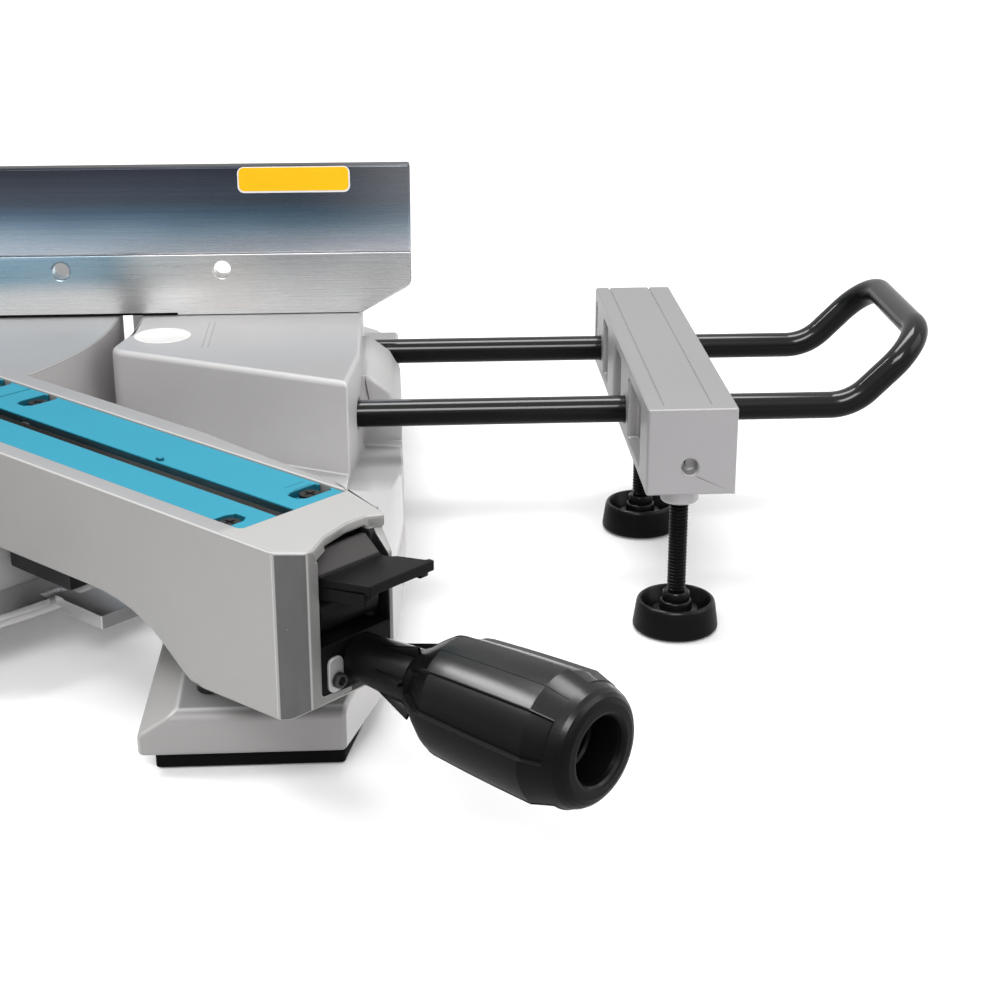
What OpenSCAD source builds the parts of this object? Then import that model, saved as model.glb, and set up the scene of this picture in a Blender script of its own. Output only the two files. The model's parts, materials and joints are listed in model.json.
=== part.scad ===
// Sliding compound mitre saw with table extensions
// Millimetres, X to the right along the fence, Y to the rear, Z up, origin on the bench under the pivot.

/* [Base and table] */
// Radius of the turntable disc
disc_r = 175; // [170:0.5:178]
// End of the wing to the right of the pivot
wing_end = 290; // [288:0.5:296]
// Step from the disc edge out to the ring wall that the mitre lock presses on
ring_step = 39; // [36:0.1:42]
// Width of the detent plate in front of the ring wall
detent_w = 22; // [19:0.1:24]
// Radius of the four bench bolt holes
bench_r = 4.5; // [3.5:0.1:5.5]
// Distance of the bench holes from the middle, sideways
bench_x = 256; // [250:0.5:262]
// Distance of the bench holes from the middle, front and rear
bench_y = 236; // [230:0.5:242]
// Radius of the hold-down clamp holes in the wings
clamp_hole_r = 8; // [6:0.1:9]

/* [Fence] */
// Height of the upper fence above the bench
fence_top = 173; // [165:0.5:200]
// Right end of the fence
fence_end = 314.3; // [308:0.1:320]
// Radius of the holes in the lower fence
fence_hole_r = 4; // [3:0.1:5]
// Radius of the fence clamp knobs
clamp_knob_r = 13; // [10:0.5:16]

/* [Arm] */
// Width of the kerf between the boards
kerf_w = 8.4; // [8:0.1:9]
// Thickness of the kerf boards
board_t = 8.3; // [6:0.1:9]
// Radius of the mitre grip
grip_r = 23.5; // [20:0.5:26]
// End of the mitre grip along the arm
grip_end = 518; // [508:0.5:533]
// Radius of the grip rod
rod_r = 6; // [5:0.1:7]

/* [Table extension] */
// Radius of the extension bars
bar_r = 6; // [5:0.1:7]
// Height of the bar axis
bar_z = 78; // [77:0.1:79]
// Radius of the levelling feet
foot_r = 18.3; // [15:0.1:22]
// Radius of the foot studs
stud_r = 4; // [3:0.1:5]
// Inner face of the cast support
support_x = 407.2; // [400:0.1:414]

/* [Slide and head] */
// Radius of the slide rails
rail_r = 11; // [10:0.1:12]
// Blade radius
blade_r = 152.5; // [148:0.1:153]
// Blade thickness
blade_t = 2.4; // [1.8:0.1:2.6]
// Number of teeth
teeth = 60; // [40:1:80]
// Radius of the motor housing
motor_r = 54; // [52:0.5:56]
// End of the motor housing to the right of the blade
motor_end = 206; // [200:0.5:212]
// Inner radius of the dust spout
spout_in_r = 18; // [16:0.1:19]

/* [Hidden] */
$fn = 48;
run = 0.05;
fit = 0.03;
table_z = 102;
mitre_rest = 45;
head_rest = 45;
pad_t = 7;
wing_gap = 10;
wing_in_r = disc_r + wing_gap;
ring_r = disc_r + ring_step;
detent_r = ring_r + detent_w;
detent_screw_r = ring_r + 10;
rod_end = ring_r + 42;
pawl_end = detent_r + 34;
leg_in = pawl_end + 22;
scale_w = 22;
wing_bot = 56;
floor_z = [22, 30];
rim_r = [disc_r - 17, disc_r - 1];
rim_z = 62;
pivot_r = 10;
low_top = 131.5;
fence_z = 102.4;
fence_x = 62;
fence_t = 10;
fence_hole_z = 124.2;
fence_holes = [148.9, 224.6];
clamp_x = 272;
fence_bolt_x = [212, 248];
clamp_z = 127;
foot_top = 109;
arm_s = 410;
lip_l = -21.6;
lip_r = 28.6;
board_top = 101.2;
board_bot = board_top - board_t;
slot_l = -13.4;
slot_r = 14;
slot_bot = 80;
slot_open = 70;
bridge_s = [ring_r - 14, rod_end + 6];
split_s = 186.5;
board_s = [376, disc_r - 25];
screw_t = [20.5, -17.5];
screw_s = [366, 202, 170, 12 - board_s[1]];
grip_t = 0;
grip_z = 57.4;
neck_r = 8.8;
recess_t = 1.5;
recess_w = 42;
recess_a = [-163, -103, 17, 77];
pin_s = 399;
pin_z = 74;
pin_r = 4;
bar_y = [-82.6, 16.3];
bar_in = 256;
bend_x = 500;
bend_r = 24;
loop_r = 20;
loop_len = 34;
support_w = 37.3;
support_y = [-159.5, 41.8];
support_z = [64.6, 102];
stud_x = support_x + 16;
stud_y = [-146.5, -28];
foot_gap = 0.3;
bevel_r = 12;
rail_t = 30;
rail_z = 312;
bev_y = disc_r + 37;
rail_s = [-bev_y - 428, -bev_y + 17];
bush_r = rail_r + 3;
rail_lock_y = bev_y + 63;
hp_y = bev_y - 40;
hp_z = 330;
hp_r = 8;
head_y0 = 172;
head_z0 = 330;
bl_y = -30;
bl_z = 246;
mo_y = -12;
mo_z = 293;
pinion_r = 10;
gear_r = 39.8;
guard_in = blade_r + 8.5;
guard_r = guard_in + 4;
guard_grow = guard_r - 165;
spout_seat = guard_r - 4.7;
guard_w = 26;
guard_in_w = 22;
guard_cut = 208;
lower_r = blade_r + 6;
hub_r = 34;
spindle_r = 10;
button_r = 5;
spout_step = 2;
spout_len = 65;
spout_deep = 50;
trigger_at = [-200, 428];
trigger_pin_r = 2.5;
button_at = [-110, 408];

// Helpers: boxes and round bars from their limits, and plates from an outline
module bx(x, y, z) {
  translate([x[0], y[0], z[0]]) cube([x[1] - x[0], y[1] - y[0], z[1] - z[0]]);
}
module xc(r, x, y, z) {
  translate([x[0], y, z]) rotate([0, 90, 0]) cylinder(r = r, h = x[1] - x[0]);
}
module yc(r, x, y, z) {
  translate([x, y[0], z]) rotate([-90, 0, 0]) cylinder(r = r, h = y[1] - y[0]);
}
module zc(r, x, y, z) {
  translate([x, y, z[0]]) cylinder(r = r, h = z[1] - z[0]);
}
module plate_x(x, pts) {
  translate([x[0], 0, 0]) rotate([90, 0, 90]) linear_extrude(x[1] - x[0]) polygon(pts);
}
module plate_y(y, pts) {
  translate([0, y[1], 0]) rotate([90, 0, 0]) linear_extrude(y[1] - y[0]) polygon(pts);
}
module plate_z(z, pts) {
  translate([0, 0, z[0]]) linear_extrude(z[1] - z[0]) polygon(pts);
}
module ring_z(r0, r1, z) {
  difference() {
    zc(r1, 0, 0, z);
    zc(r0, 0, 0, [z[0] - 1, z[1] + 1]);
  }
}
// Wedge of a disc in front of the pivot, a to each side
module front_wedge(a, r, z) {
  plate_z(z, [[0, 0], [-r * sin(a), -r * cos(a)], [-r, -r], [0, -1.5 * r], [r, -r],
    [r * sin(a), -r * cos(a)]]);
}
module turned() {
  rotate([0, 0, mitre_rest]) children();
}
module headed() {
  turned() translate([0, hp_y, hp_z]) rotate([-head_rest, 0, 0]) translate([0, -head_y0, -head_z0]) children();
}
module both_sides() {
  children();
  mirror([1, 0, 0]) children();
}
module four_corners() {
  both_sides() children();
  mirror([0, 1, 0]) both_sides() children();
}

// Base
leg_plan = [[208, -266], [284, -266], [297, -225], [308, -150], [308, 10], [200, 10], [200, -98],
  [216, -110], [(leg_in - 12.4) * sin(57.6), (12.4 - leg_in) * cos(57.6)],
  [leg_in * sin(46.8), -leg_in * cos(46.8)]];
leg_side = [[-266, pad_t], [-266, 22], [-262, 25], [-200, 36], [-116, 60], [10, 60], [10, 30],
  [-150, 30], [-185, pad_t]];
wing_plan = [[150, -42], [186, -61], [wing_end - 1, -116], [wing_end, -112], [wing_end, 70], [150, 70]];
ear = [[wing_end - 10, 58], [308, 58], [308, 74], [303, 83], [wing_end + 4, 90], [wing_end - 10, 92]];
module leg() {
  difference() {
    intersection() {
      plate_z([0, 70], leg_plan);
      plate_x([190, 320], leg_side);
    }
    translate([208, -266, 14.8]) rotate([0, 0, -4.3]) rotate([11.5, 0, 0]) rotate([0, -31.5, 0])
      translate([-60, -60, 0]) cube([160, 176, 80]);
  }
}
module wing() {
  difference() {
    plate_z([wing_bot, table_z], wing_plan);
    zc(wing_in_r, 0, 0, [wing_bot - 1, table_z + 1]);
    bx([204, 230], [-48, 62], [wing_bot - 1, table_z - 8]);
    bx([236, wing_end - 8], [-64, 0], [wing_bot - 1, table_z - 8]);
  }
  plate_y([-66, 2], ear);
  bx([disc_r + 1, wing_end], [-58, 58], [floor_z[0], wing_bot]);
}
module base_casting() color([0.72, 0.72, 0.7]) {
  difference() {
    union() {
      four_corners() leg();
      both_sides() wing();
      ring_z(0, ring_r, floor_z);
      ring_z(rim_r[0], rim_r[1], [floor_z[0], rim_z]);
      zc(34, 0, 0, [floor_z[0], rim_z]);
      difference() {
        union() {
          ring_z(ring_r - 8, ring_r, [floor_z[0], wing_bot]);
          ring_z(ring_r - 27, ring_r, [wing_bot - 4, wing_bot]);
        }
        bx([-240, 240], [60, 240], [floor_z[1], wing_bot + 1]);
      }
      intersection() {
        ring_z(ring_r - 10, detent_r - 3, [floor_z[0], 27]);
        front_wedge(64, 300, [0, 100]);
      }
    }
    zc(wing_in_r, 0, 0, [rim_z, 200]);
    zc(pivot_r + fit, 0, 0, [0, 100]);
    four_corners() zc(bench_r, bench_x, -bench_y, [-1, 60]);
    four_corners() zc(12, bench_x, -bench_y, [25, 60]);
    both_sides() for (y = bar_y) xc(bar_r + run, [bar_in - 13, 330], y, bar_z);
    both_sides() zc(clamp_hole_r, 246, 52, [60, 110]);
    both_sides() for (x = fence_bolt_x) zc(4 + fit, x, 24, [88, 110]);
    for (a = [-57, -36, -10, 10, 36, 57]) rotate(a) zc(2 + fit, 0, -detent_screw_r, [20, 40]);
  }
}
pad_plan = [[213.6, -262], [283.4, -262], [290, -232], [290, -205], [240, -205], [228, -232]];
module foot_pads() color([0.06, 0.06, 0.06])
  four_corners() difference() {
    plate_z([0, pad_t], pad_plan);
    zc(bench_r, bench_x, -bench_y, [-1, pad_t + 1]);
  }
notches = [-50, -45, -31.6, -22.5, -15, 0, 15, 22.5, 31.6, 45, 50];
module detent_plate() color([0.62, 0.62, 0.62])
  difference() {
    intersection() {
      ring_z(ring_r + 0.5, detent_r, [27, 30]);
      front_wedge(62, 300, [0, 100]);
    }
    for (a = notches) rotate(a) bx([-5, 5], [-detent_r - 5, -detent_r + 7], [20, 40]);
    for (a = [-57, -36, -10, 10, 36, 57]) rotate(a) zc(2 + fit, 0, -detent_screw_r, [20, 40]);
  }
module detent_screws() color([0.05, 0.05, 0.05])
  for (a = [-57, -36, -10, 10, 36, 57]) rotate(a) difference() {
    union() {
      zc(2, 0, -detent_screw_r, [23, 30.5]);
      zc(4, 0, -detent_screw_r, [30, 33]);
    }
    bx([-2.4, 2.4], [-detent_screw_r - 0.5, -detent_screw_r + 0.5], [32, 34]);
    bx([-0.5, 0.5], [-detent_screw_r - 2.4, -detent_screw_r + 2.4], [32, 34]);
  }
module mitre_scale() color([0.8, 0.8, 0.8])
  difference() {
    intersection() {
      ring_z(ring_r - 2 - scale_w, ring_r - 2, [wing_bot, wing_bot + 1.2]);
      front_wedge(58, 300, [0, 100]);
    }
    for (a = [-50 : 5 : 50]) rotate(a) bx([-0.4, 0.4], [-ring_r - 6, -ring_r + 11], [wing_bot + 0.8, 100]);
  }
module pivot_bolt() color([0.5, 0.5, 0.5]) {
  difference() {
    union() {
      zc(pivot_r, 0, 0, [12, 70.5]);
      zc(16, 0, 0, [70, 78]);
    }
    translate([0, 0, 73]) cylinder(r = 7, h = 10, $fn = 6);
  }
  difference() {
    translate([0, 0, 13]) cylinder(r = 18, h = 9, $fn = 6);
    zc(pivot_r + fit, 0, 0, [10, 30]);
  }
}

// Fence
module fixed_fence() {
  difference() {
    union() {
      plate_y([0, fence_t], [[fence_x, fence_z], [wing_end + 0.7, fence_z], [fence_end, 115.4],
        [fence_end, low_top], [fence_x, low_top]]);
      bx([196, wing_end - 2], [fence_t - 1, 34], [table_z, foot_top]);
    }
    plate_z([100, 140], [[fence_x - 1, -1], [fence_x - 1, 20], [fence_x + 22, 20], [fence_x - 1, -0.01]]);
    for (x = fence_holes) yc(fence_hole_r, x, [-1, fence_t + 1], fence_hole_z);
    for (x = fence_bolt_x) zc(4 + fit, x, 24, [100, 120]);
  }
}
module fixed_fence_right() color([0.75, 0.75, 0.76]) fixed_fence();
module fixed_fence_left() color([0.75, 0.75, 0.76]) mirror([1, 0, 0]) fixed_fence();
module fence_bolts() color([0.1, 0.1, 0.1])
  both_sides() for (x = fence_bolt_x) difference() {
    union() {
      zc(4, x, 24, [90, foot_top + 0.5]);
      zc(6.5, x, 24, [foot_top, foot_top + 8]);
    }
    translate([x, 24, foot_top + 4]) cylinder(r = 3.5, h = 10, $fn = 6);
  }
module sliding_fence() {
  difference() {
    union() {
      plate_y([0, 9], [[84, low_top], [fence_end, low_top], [fence_end, fence_top], [112, fence_top]]);
      bx([244, fence_end - 8], [fence_t, 17], [114, 160]);
      bx([244, fence_end - 8], [8, fence_t + 1], [low_top, 160]);
      bx([130, 240], [8, 13], [fence_top - 12, fence_top - 6]);
    }
    yc(4 + run, clamp_x, [5, 20], clamp_z);
  }
}
module sliding_fence_right() color([0.6, 0.62, 0.65]) sliding_fence();
module sliding_fence_left() color([0.6, 0.62, 0.65]) mirror([1, 0, 0]) sliding_fence();
module fence_clamp() {
  difference() {
    union() {
      yc(4, clamp_x, [fence_t + 0.3, 20], clamp_z);
      yc(8, clamp_x, [17.3, 22], clamp_z);
      yc(clamp_knob_r, clamp_x, [21, 38], clamp_z);
    }
    for (a = [0 : 60 : 300]) translate([clamp_x, 0, clamp_z]) rotate([0, a, 0])
      yc(3.5, clamp_knob_r + 1, [20, 40], 0);
  }
}
module fence_clamp_right() color([0.05, 0.05, 0.05]) fence_clamp();
module fence_clamp_left() color([0.05, 0.05, 0.05]) mirror([1, 0, 0]) fence_clamp();

// Table extension: loop of bar, cast support, levelling feet
module ubar() {
  rise = 45;
  for (y = bar_y) {
    xc(bar_r, [bar_in, bend_x], y, bar_z);
    translate([bend_x, y, bar_z + bend_r]) rotate([90, 0, 0]) rotate([0, 0, -90])
      rotate_extrude(angle = rise) translate([bend_r, 0]) circle(bar_r);
  }
  translate([bend_x + bend_r * sin(rise), 0, bar_z + bend_r * (1 - cos(rise))]) rotate([0, -rise, 0]) {
    for (y = bar_y) xc(bar_r, [0, loop_len - loop_r], y, 0);
    translate([loop_len - loop_r, bar_y[0] + loop_r, 0]) rotate([0, 0, -90])
      rotate_extrude(angle = 90) translate([loop_r, 0]) circle(bar_r);
    translate([loop_len - loop_r, bar_y[1] - loop_r, 0])
      rotate_extrude(angle = 90) translate([loop_r, 0]) circle(bar_r);
    yc(bar_r, loop_len, [bar_y[0] + loop_r, bar_y[1] - loop_r], 0);
  }
}
module right_ubar() color([0.04, 0.04, 0.04]) ubar();
module left_ubar() color([0.04, 0.04, 0.04]) mirror([1, 0, 0]) ubar();
module support() {
  x1 = support_x + support_w;
  difference() {
    union() {
      bx([support_x, x1], support_y, support_z);
      for (y = stud_y) zc(8, stud_x, y, [support_z[0] - 6.5, support_z[0] + 1]);
    }
    for (y = [[-136, -97], [-68, -40], [-16, 2], [31, 36]]) {
      bx([support_x - 1, support_x + 5], y, [69, 96]);
      bx([x1 - 12, x1 + 1], y, [69, 96]);
    }
    for (y = bar_y) xc(bar_r + fit, [support_x - 1, x1 + 1], y, bar_z);
    for (y = stud_y) zc(stud_r + run, stud_x, y, [50, 97]);
    yc(3.4, stud_x + 2, [support_y[0] - 1, support_y[0] + 6], 77);
    for (x = [support_x + 7, x1 - 10.5]) bx([x - 0.4, x + 0.4], [support_y[0] + 6, support_y[1] + 1],
      [101.4, 103]);
  }
}
module right_support() color([0.74, 0.74, 0.74]) support();
module left_support() color([0.74, 0.74, 0.74]) mirror([1, 0, 0]) support();
module levelling_foot(y) {
  translate([stud_x, y, 0]) rotate_extrude() polygon([[0, foot_gap], [foot_r - 1, foot_gap],
    [foot_r, foot_gap + 1],
    [foot_r - 1.5, 12], [foot_r - 2.2, 13.3], [foot_r - 3.2, 13.3], [foot_r - 4.6, 5], [10, 5], [9.6, 9],
    [7, 9], [6.8, 13], [5.8, 13], [5.8, 17], [stud_r, 17], [stud_r, 84], [0, 84]]);
}
module right_front_foot() color([0.05, 0.05, 0.05]) levelling_foot(stud_y[0]);
module right_rear_foot() color([0.05, 0.05, 0.05]) levelling_foot(stud_y[1]);
module left_front_foot() color([0.05, 0.05, 0.05]) mirror([1, 0, 0]) levelling_foot(stud_y[0]);
module left_rear_foot() color([0.05, 0.05, 0.05]) mirror([1, 0, 0]) levelling_foot(stud_y[1]);

// Turntable, drawn with the arm to the front and turned to its rest angle
arm_plan = [[-30, -150], [-30, -400.8], [-22, -arm_s], [19.3, -arm_s + 1.3], [32, -365], [38, -285],
  [38, -150]];
arm_bend = [for (i = [0 : 12]) let (u = i / 12, v = 1 - u)
  v * v * v * [-296, 61.5] + 3 * v * v * u * [-342, 62.5] + 3 * v * u * u * [-344, 38] + u * u * u * [-362, 39]];
arm_side = concat([[-150, rim_z], [-disc_r - 1, rim_z], [-disc_r - 1, 61]], arm_bend,
  [[-404, 40], [-arm_s, 44], [-arm_s, table_z], [-150, table_z]]);
scoop_plan = [[-19, -arm_s - 2], [-19, -arm_s], [-8, -404], [5, -400.5], [15, -400.2], [32.5, -arm_s - 2]];
arm_hollow = [[-25, -disc_r - 21], [33, -disc_r - 21], [33, -285], [27, -363], [15, -404], [-20, -404],
  [-25, -398]];
module turntable() color([0.7, 0.7, 0.68]) turned() {
  difference() {
    union() {
      zc(disc_r, 0, 0, [94, table_z]);
      ring_z(disc_r - 7, disc_r, [rim_z, table_z]);
      zc(30, 0, 0, [rim_z, 95]);
      bx([-30, 38], [-384, disc_r - 19], [76, 95]);
      for (a = [45, 135]) rotate(a) bx([-disc_r + 5, disc_r - 5], [-3, 3], [74, 95]);
      difference() {
        intersection() {
          plate_z([30, table_z], arm_plan);
          plate_x([-40, 50], arm_side);
        }
        plate_z([20, 76], arm_hollow);
        bx([-20, 15], [-404, -394], [70, 98]);
        bx([-20, 15], [-395, -385], [70, 84]);
        plate_z([97, table_z + 1], scoop_plan);
        plate_x([15, 35], [[-arm_s - 3, 85.5], [-arm_s - 3, 97], [-arm_s + 8.5, 97]]);
      }
      bx([-25, -17.2], [-406, -390], [64, 84]);
      bx([17.2, 20], [-404, -390], [64, 84]);
      bx([-42, 42], [disc_r - 15, bev_y], [rim_z, 101]);
      yc(48, 0, [bev_y - 32, bev_y], table_z);
    }
    bx([lip_l, lip_r], [-board_s[0] - 0.5, board_s[1] + 0.5], [board_bot, table_z + 1]);
    bx([slot_l, slot_r], [-board_s[0] + 3, board_s[1] - 20], [slot_bot, table_z + 1]);
    bx([slot_l, slot_r], [-board_s[0] + 3, -bridge_s[1]], [slot_open, slot_bot + 1]);
    bx([slot_l, slot_r], [-bridge_s[0], -40], [slot_open, slot_bot + 1]);
    zc(pivot_r + run, 0, 0, [rim_z - 1, 90]);
    zc(18, 0, 0, [70, 90]);
    bx([-17, 17], [-arm_s - 2, -402], [47, 97]);
    xc(pin_r + fit, [-27, 23], -pin_s, pin_z);
    yc(bevel_r + fit, 0, [bev_y - 28, bev_y + 8], table_z);
    for (k = [0, 1]) for (s = screw_s) zc(2.5 + fit, screw_t[k], -s, [84, 95]);
  }
}
// Kerf board between two stations along the arm, k 0 for right and 1 for left
module board(k, s0, s1) {
  e = kerf_w / 2;
  out = k == 0 ? lip_r - 0.2 : -lip_l - 0.2;
  m = k == 0 ? 0 : 1;
  mirror([m, 0, 0]) difference() {
    plate_y([-s1, -s0], [[e, board_top], [out, board_top], [out, board_bot], [13.2, board_bot], [13.2, 93.4],
      [e, board_top - 1]]);
    for (s = screw_s) {
      x = k == 0 ? screw_t[0] : -screw_t[1];
      w = k == 0 ? 5.5 : 2.5;
      bx([x - w - 2.8, x + w + 2.8], [-s - 2.8, -s + 2.8], [80, 110]);
      bx([x - w + 1.4, x + w + 1.2], [-s - 4.4, -s + 4.4], [98, 110]);
      zc(4.4, x - w + 1.4, -s, [98, 110]);
    }
  }
}
module board_front_right() color([0.2, 0.6, 0.72]) turned() board(0, split_s + 0.3, board_s[0]);
module board_front_left() color([0.2, 0.6, 0.72]) turned() board(1, split_s + 0.3, board_s[0]);
module board_rear_right() color([0.2, 0.6, 0.72]) turned() board(0, -board_s[1], split_s - 0.3);
module board_rear_left() color([0.2, 0.6, 0.72]) turned() board(1, -board_s[1], split_s - 0.3);
module board_screws() color([0.05, 0.05, 0.05]) turned()
  for (k = [0, 1]) for (s = screw_s) difference() {
    union() {
      zc(2.5, screw_t[k], -s, [86, 98.5]);
      zc(4, screw_t[k], -s, [98, 100.4]);
    }
    bx([screw_t[k] - 2.4, screw_t[k] + 2.4], [-s - 0.5, -s + 0.5], [99.4, 102]);
    bx([screw_t[k] - 0.5, screw_t[k] + 0.5], [-s - 2.4, -s + 2.4], [99.4, 102]);
  }
module lever_pin() color([0.55, 0.55, 0.55]) turned() xc(pin_r, [-26, 20], -pin_s, pin_z);
module bevel_pin() color([0.55, 0.55, 0.55]) turned() {
  yc(bevel_r, 0, [bev_y - 27, bev_y + 44], table_z);
  yc(8, 0, [bev_y + 43, bev_y + 66], table_z);
}
module bevel_scale() color([0.8, 0.8, 0.8]) turned() translate([0, bev_y - 13, table_z]) rotate([90, 0, 0])
  difference() {
    cylinder(r = 60, h = 3);
    translate([0, 0, -1]) cylinder(r = 48.1, h = 5);
    translate([-70, -70, -1]) cube([140, 100, 5]);
    for (a = [40 : 10 : 140]) rotate(a) translate([54, -0.4, 2.4]) cube([8, 0.8, 2]);
  }
module grip_bracket() color([0.06, 0.06, 0.06]) turned()
  difference() {
    union() {
      bx([-16.8, 16.8], [-arm_s + 0.5, -402.2], [47.2, 65]);
      bx([-16.8, 14.5], [-403, -397], [47.2, 65]);
    }
    yc(rod_r + run, grip_t, [-arm_s - 1, -390], grip_z);
  }
module mitre_grip() color([0.05, 0.05, 0.05]) turned() translate([grip_t, 0, grip_z]) {
  difference() {
    rotate([90, 0, 0]) rotate_extrude() polygon([[0, rod_end], [rod_r, rod_end], [rod_r, arm_s + 1.5],
      [neck_r - 0.3, arm_s + 1.5], [neck_r, arm_s + 10], [neck_r + 2.1, arm_s + 24], [neck_r + 3.8, arm_s + 31],
      [grip_r - 6.2, arm_s + 40], [grip_r - 2.6, arm_s + 47.4], [grip_r - 1.7, arm_s + 56],
      [grip_r, grip_end - 15], [grip_r - 1.7, grip_end - 9.5],
        [grip_r - 3.3, grip_end - 4.5],
      [grip_r - 5, grip_end - 1.5], [grip_r - 8, grip_end], [12, grip_end], [11, grip_end - 1],
      [11, grip_end - 14], [0, grip_end - 14]]);
    rotate([90, 0, 0]) for (a = recess_a) rotate([0, 0, 90 - recess_w / 2 - a])
      rotate_extrude(angle = recess_w)
      polygon([[grip_r - 9.5, arm_s + 35], [grip_r + 9, arm_s + 35], [grip_r + 9, grip_end - 15],
        [grip_r - recess_t, grip_end - 15],
        [grip_r - 1.7 - recess_t, arm_s + 56], [grip_r - 2.6 - recess_t, arm_s + 48.2]]);
  }
  for (a = [-43, 47, 137, 227]) rotate([0, a, 0]) plate_x([-1.5, 1.5], [[-arm_s - 10, 7.5],
    [-arm_s - 37, 7.5], [-arm_s - 37, 15.2], [-arm_s - 31, 14.6]]);
}
module lock_plunger() color([0.4, 0.4, 0.4]) turned()
  bx([-9, 11], [-rod_end, -ring_r - 2], [40, 76]);
module lock_lever() color([0.05, 0.05, 0.05]) turned()
  difference() {
    union() {
      plate_z([87, 90], [[-15, -398], [-15.4, -408], [-9.2, -426], [22.3, -426], [17, -413.2],
        [14.5, -411], [14.5, -398]]);
      bx([-9.2, 22.3], [-426, -423], [86.4, 90]);
      for (t = [-6.5, 18]) bx([t - 2.2, t + 2.2], [-425.2, -421.5], [84.6, 88]);
      plate_z([82, 88], [[-15, -402], [-15.4, -408], [-9.8, -424], [-7.8, -424], [-13.2, -408], [-13, -402]]);
      plate_x([-15, 14.5], [[-398, 88], [-408, 88], [-408, 90], [-400.5, 96], [-398, 95.5]]);
      bx([-9, 11], [-404, -398], [74, 88]);
      xc(8, [-14, 14], -pin_s, pin_z);
    }
    xc(pin_r + run, [-30, 30], -pin_s, pin_z);
  }
module detent_pawl() color([0.45, 0.45, 0.45]) turned() {
  bx([14, 24], [-pawl_end, -detent_r - 26], [26, 76]);
  bx([-5, 24], [-pawl_end, -detent_r - 8], [26, 32]);
  bx([-4, 4], [-detent_r - 9, -detent_r - 1.5], [27.4, 32]);
}

// Bevel arm and slide
module bevel_arm() color([0.68, 0.68, 0.66]) turned()
  difference() {
    union() {
      yc(50, 0, [bev_y, bev_y + 42], table_z);
      plate_y([bev_y + 2, bev_y + 42], [[-44, table_z + 10], [44, table_z + 10], [48, 296], [-48, 296]]);
      bx([-48, 48], [bev_y + 24, bev_y + 98], [294, 330]);
      plate_x([-12, 12], [[bev_y + 38, table_z + 20], [bev_y + 88, 296], [bev_y + 38, 296]]);
    }
    yc(bevel_r + run, 0, [bev_y - 12, bev_y + 48], table_z);
    for (t = [-rail_t, rail_t]) {
      yc(rail_r + 1.5, t, [bev_y + 18, bev_y + 108], rail_z);
      yc(bush_r + fit, t, [bev_y + 18, bev_y + 44], rail_z);
      yc(bush_r + fit, t, [bev_y + 78, bev_y + 108], rail_z);
    }
    bx([-26, 26], [bev_y - 4, bev_y + 14], [165, 280]);
    xc(5 + run, [45, 60], rail_lock_y, rail_z);
  }
module rail_bushes() color([0.7, 0.55, 0.25]) turned()
  for (t = [-rail_t, rail_t]) for (y = [bev_y + 24, bev_y + 78]) difference() {
    yc(bush_r, t, [y, y + 20], rail_z);
    yc(rail_r + run, t, [y - 1, y + 21], rail_z);
  }
module bevel_lock_lever() color([0.05, 0.05, 0.05]) turned() translate([0, 0, table_z])
  difference() {
    union() {
      yc(16, 0, [bev_y + 44, bev_y + 60], 0);
      rotate([0, 45, 0]) {
        bx([-7, 7], [bev_y + 46, bev_y + 58], [0, 64]);
        zc(10, 0, bev_y + 52, [58, 92]);
      }
    }
    yc(8 + run, 0, [bev_y + 38, bev_y + 68], 0);
  }
module rail_lock_knob() color([0.05, 0.05, 0.05]) turned() {
  xc(5, [45.5, 56], rail_lock_y, rail_z);
  difference() {
    xc(15, [52, 70], rail_lock_y, rail_z);
    for (a = [0 : 60 : 300]) translate([0, rail_lock_y, rail_z]) rotate([a, 0, 0]) xc(4, [50, 72], 0, 16);
  }
}
module carriage() color([0.68, 0.68, 0.66]) turned()
  difference() {
    union() {
      bx([-46, 46], [hp_y + 22, hp_y + 46], [297, 332]);
      both_sides() {
        plate_x([36, 46], [[hp_y + 46, 297], [hp_y + 46, 340], [hp_y + 8, hp_z + 19],
          [hp_y - 16, hp_z + 10], [hp_y - 20, 318], [hp_y + 22, 297]]);
        xc(20, [36, 46], hp_y, hp_z);
      }
    }
    xc(hp_r + fit, [-50, 50], hp_y, hp_z);
    for (t = [-rail_t, rail_t]) yc(rail_r + fit, t, [hp_y + 18, hp_y + 48], rail_z);
    xc(4 + run, [20, 50], hp_y + 34, 335);
  }
module slide_rails() color([0.8, 0.8, 0.8]) turned()
  for (t = [-rail_t, rail_t]) difference() {
    yc(rail_r, t, [-rail_s[1], -rail_s[0]], rail_z);
    yc(rail_r - 3, t, [-rail_s[1] - 1, -rail_s[0] + 1], rail_z);
  }
module rail_end_cap() color([0.05, 0.05, 0.05]) turned()
  difference() {
    bx([-46, 46], [-rail_s[0] - 12, -rail_s[0] + 12], [296, 328]);
    for (t = [-rail_t, rail_t]) yc(rail_r + fit, t, [-rail_s[0] - 13, -rail_s[0]], rail_z);
  }
module hinge_pin() color([0.55, 0.55, 0.55]) turned() xc(hp_r, [-48, 48], hp_y, hp_z);
module stop_pin() color([0.5, 0.5, 0.5]) turned() {
  xc(4, [37, 58], hp_y + 34, 335);
  xc(8, [57, 68], hp_y + 34, 335);
}

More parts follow.
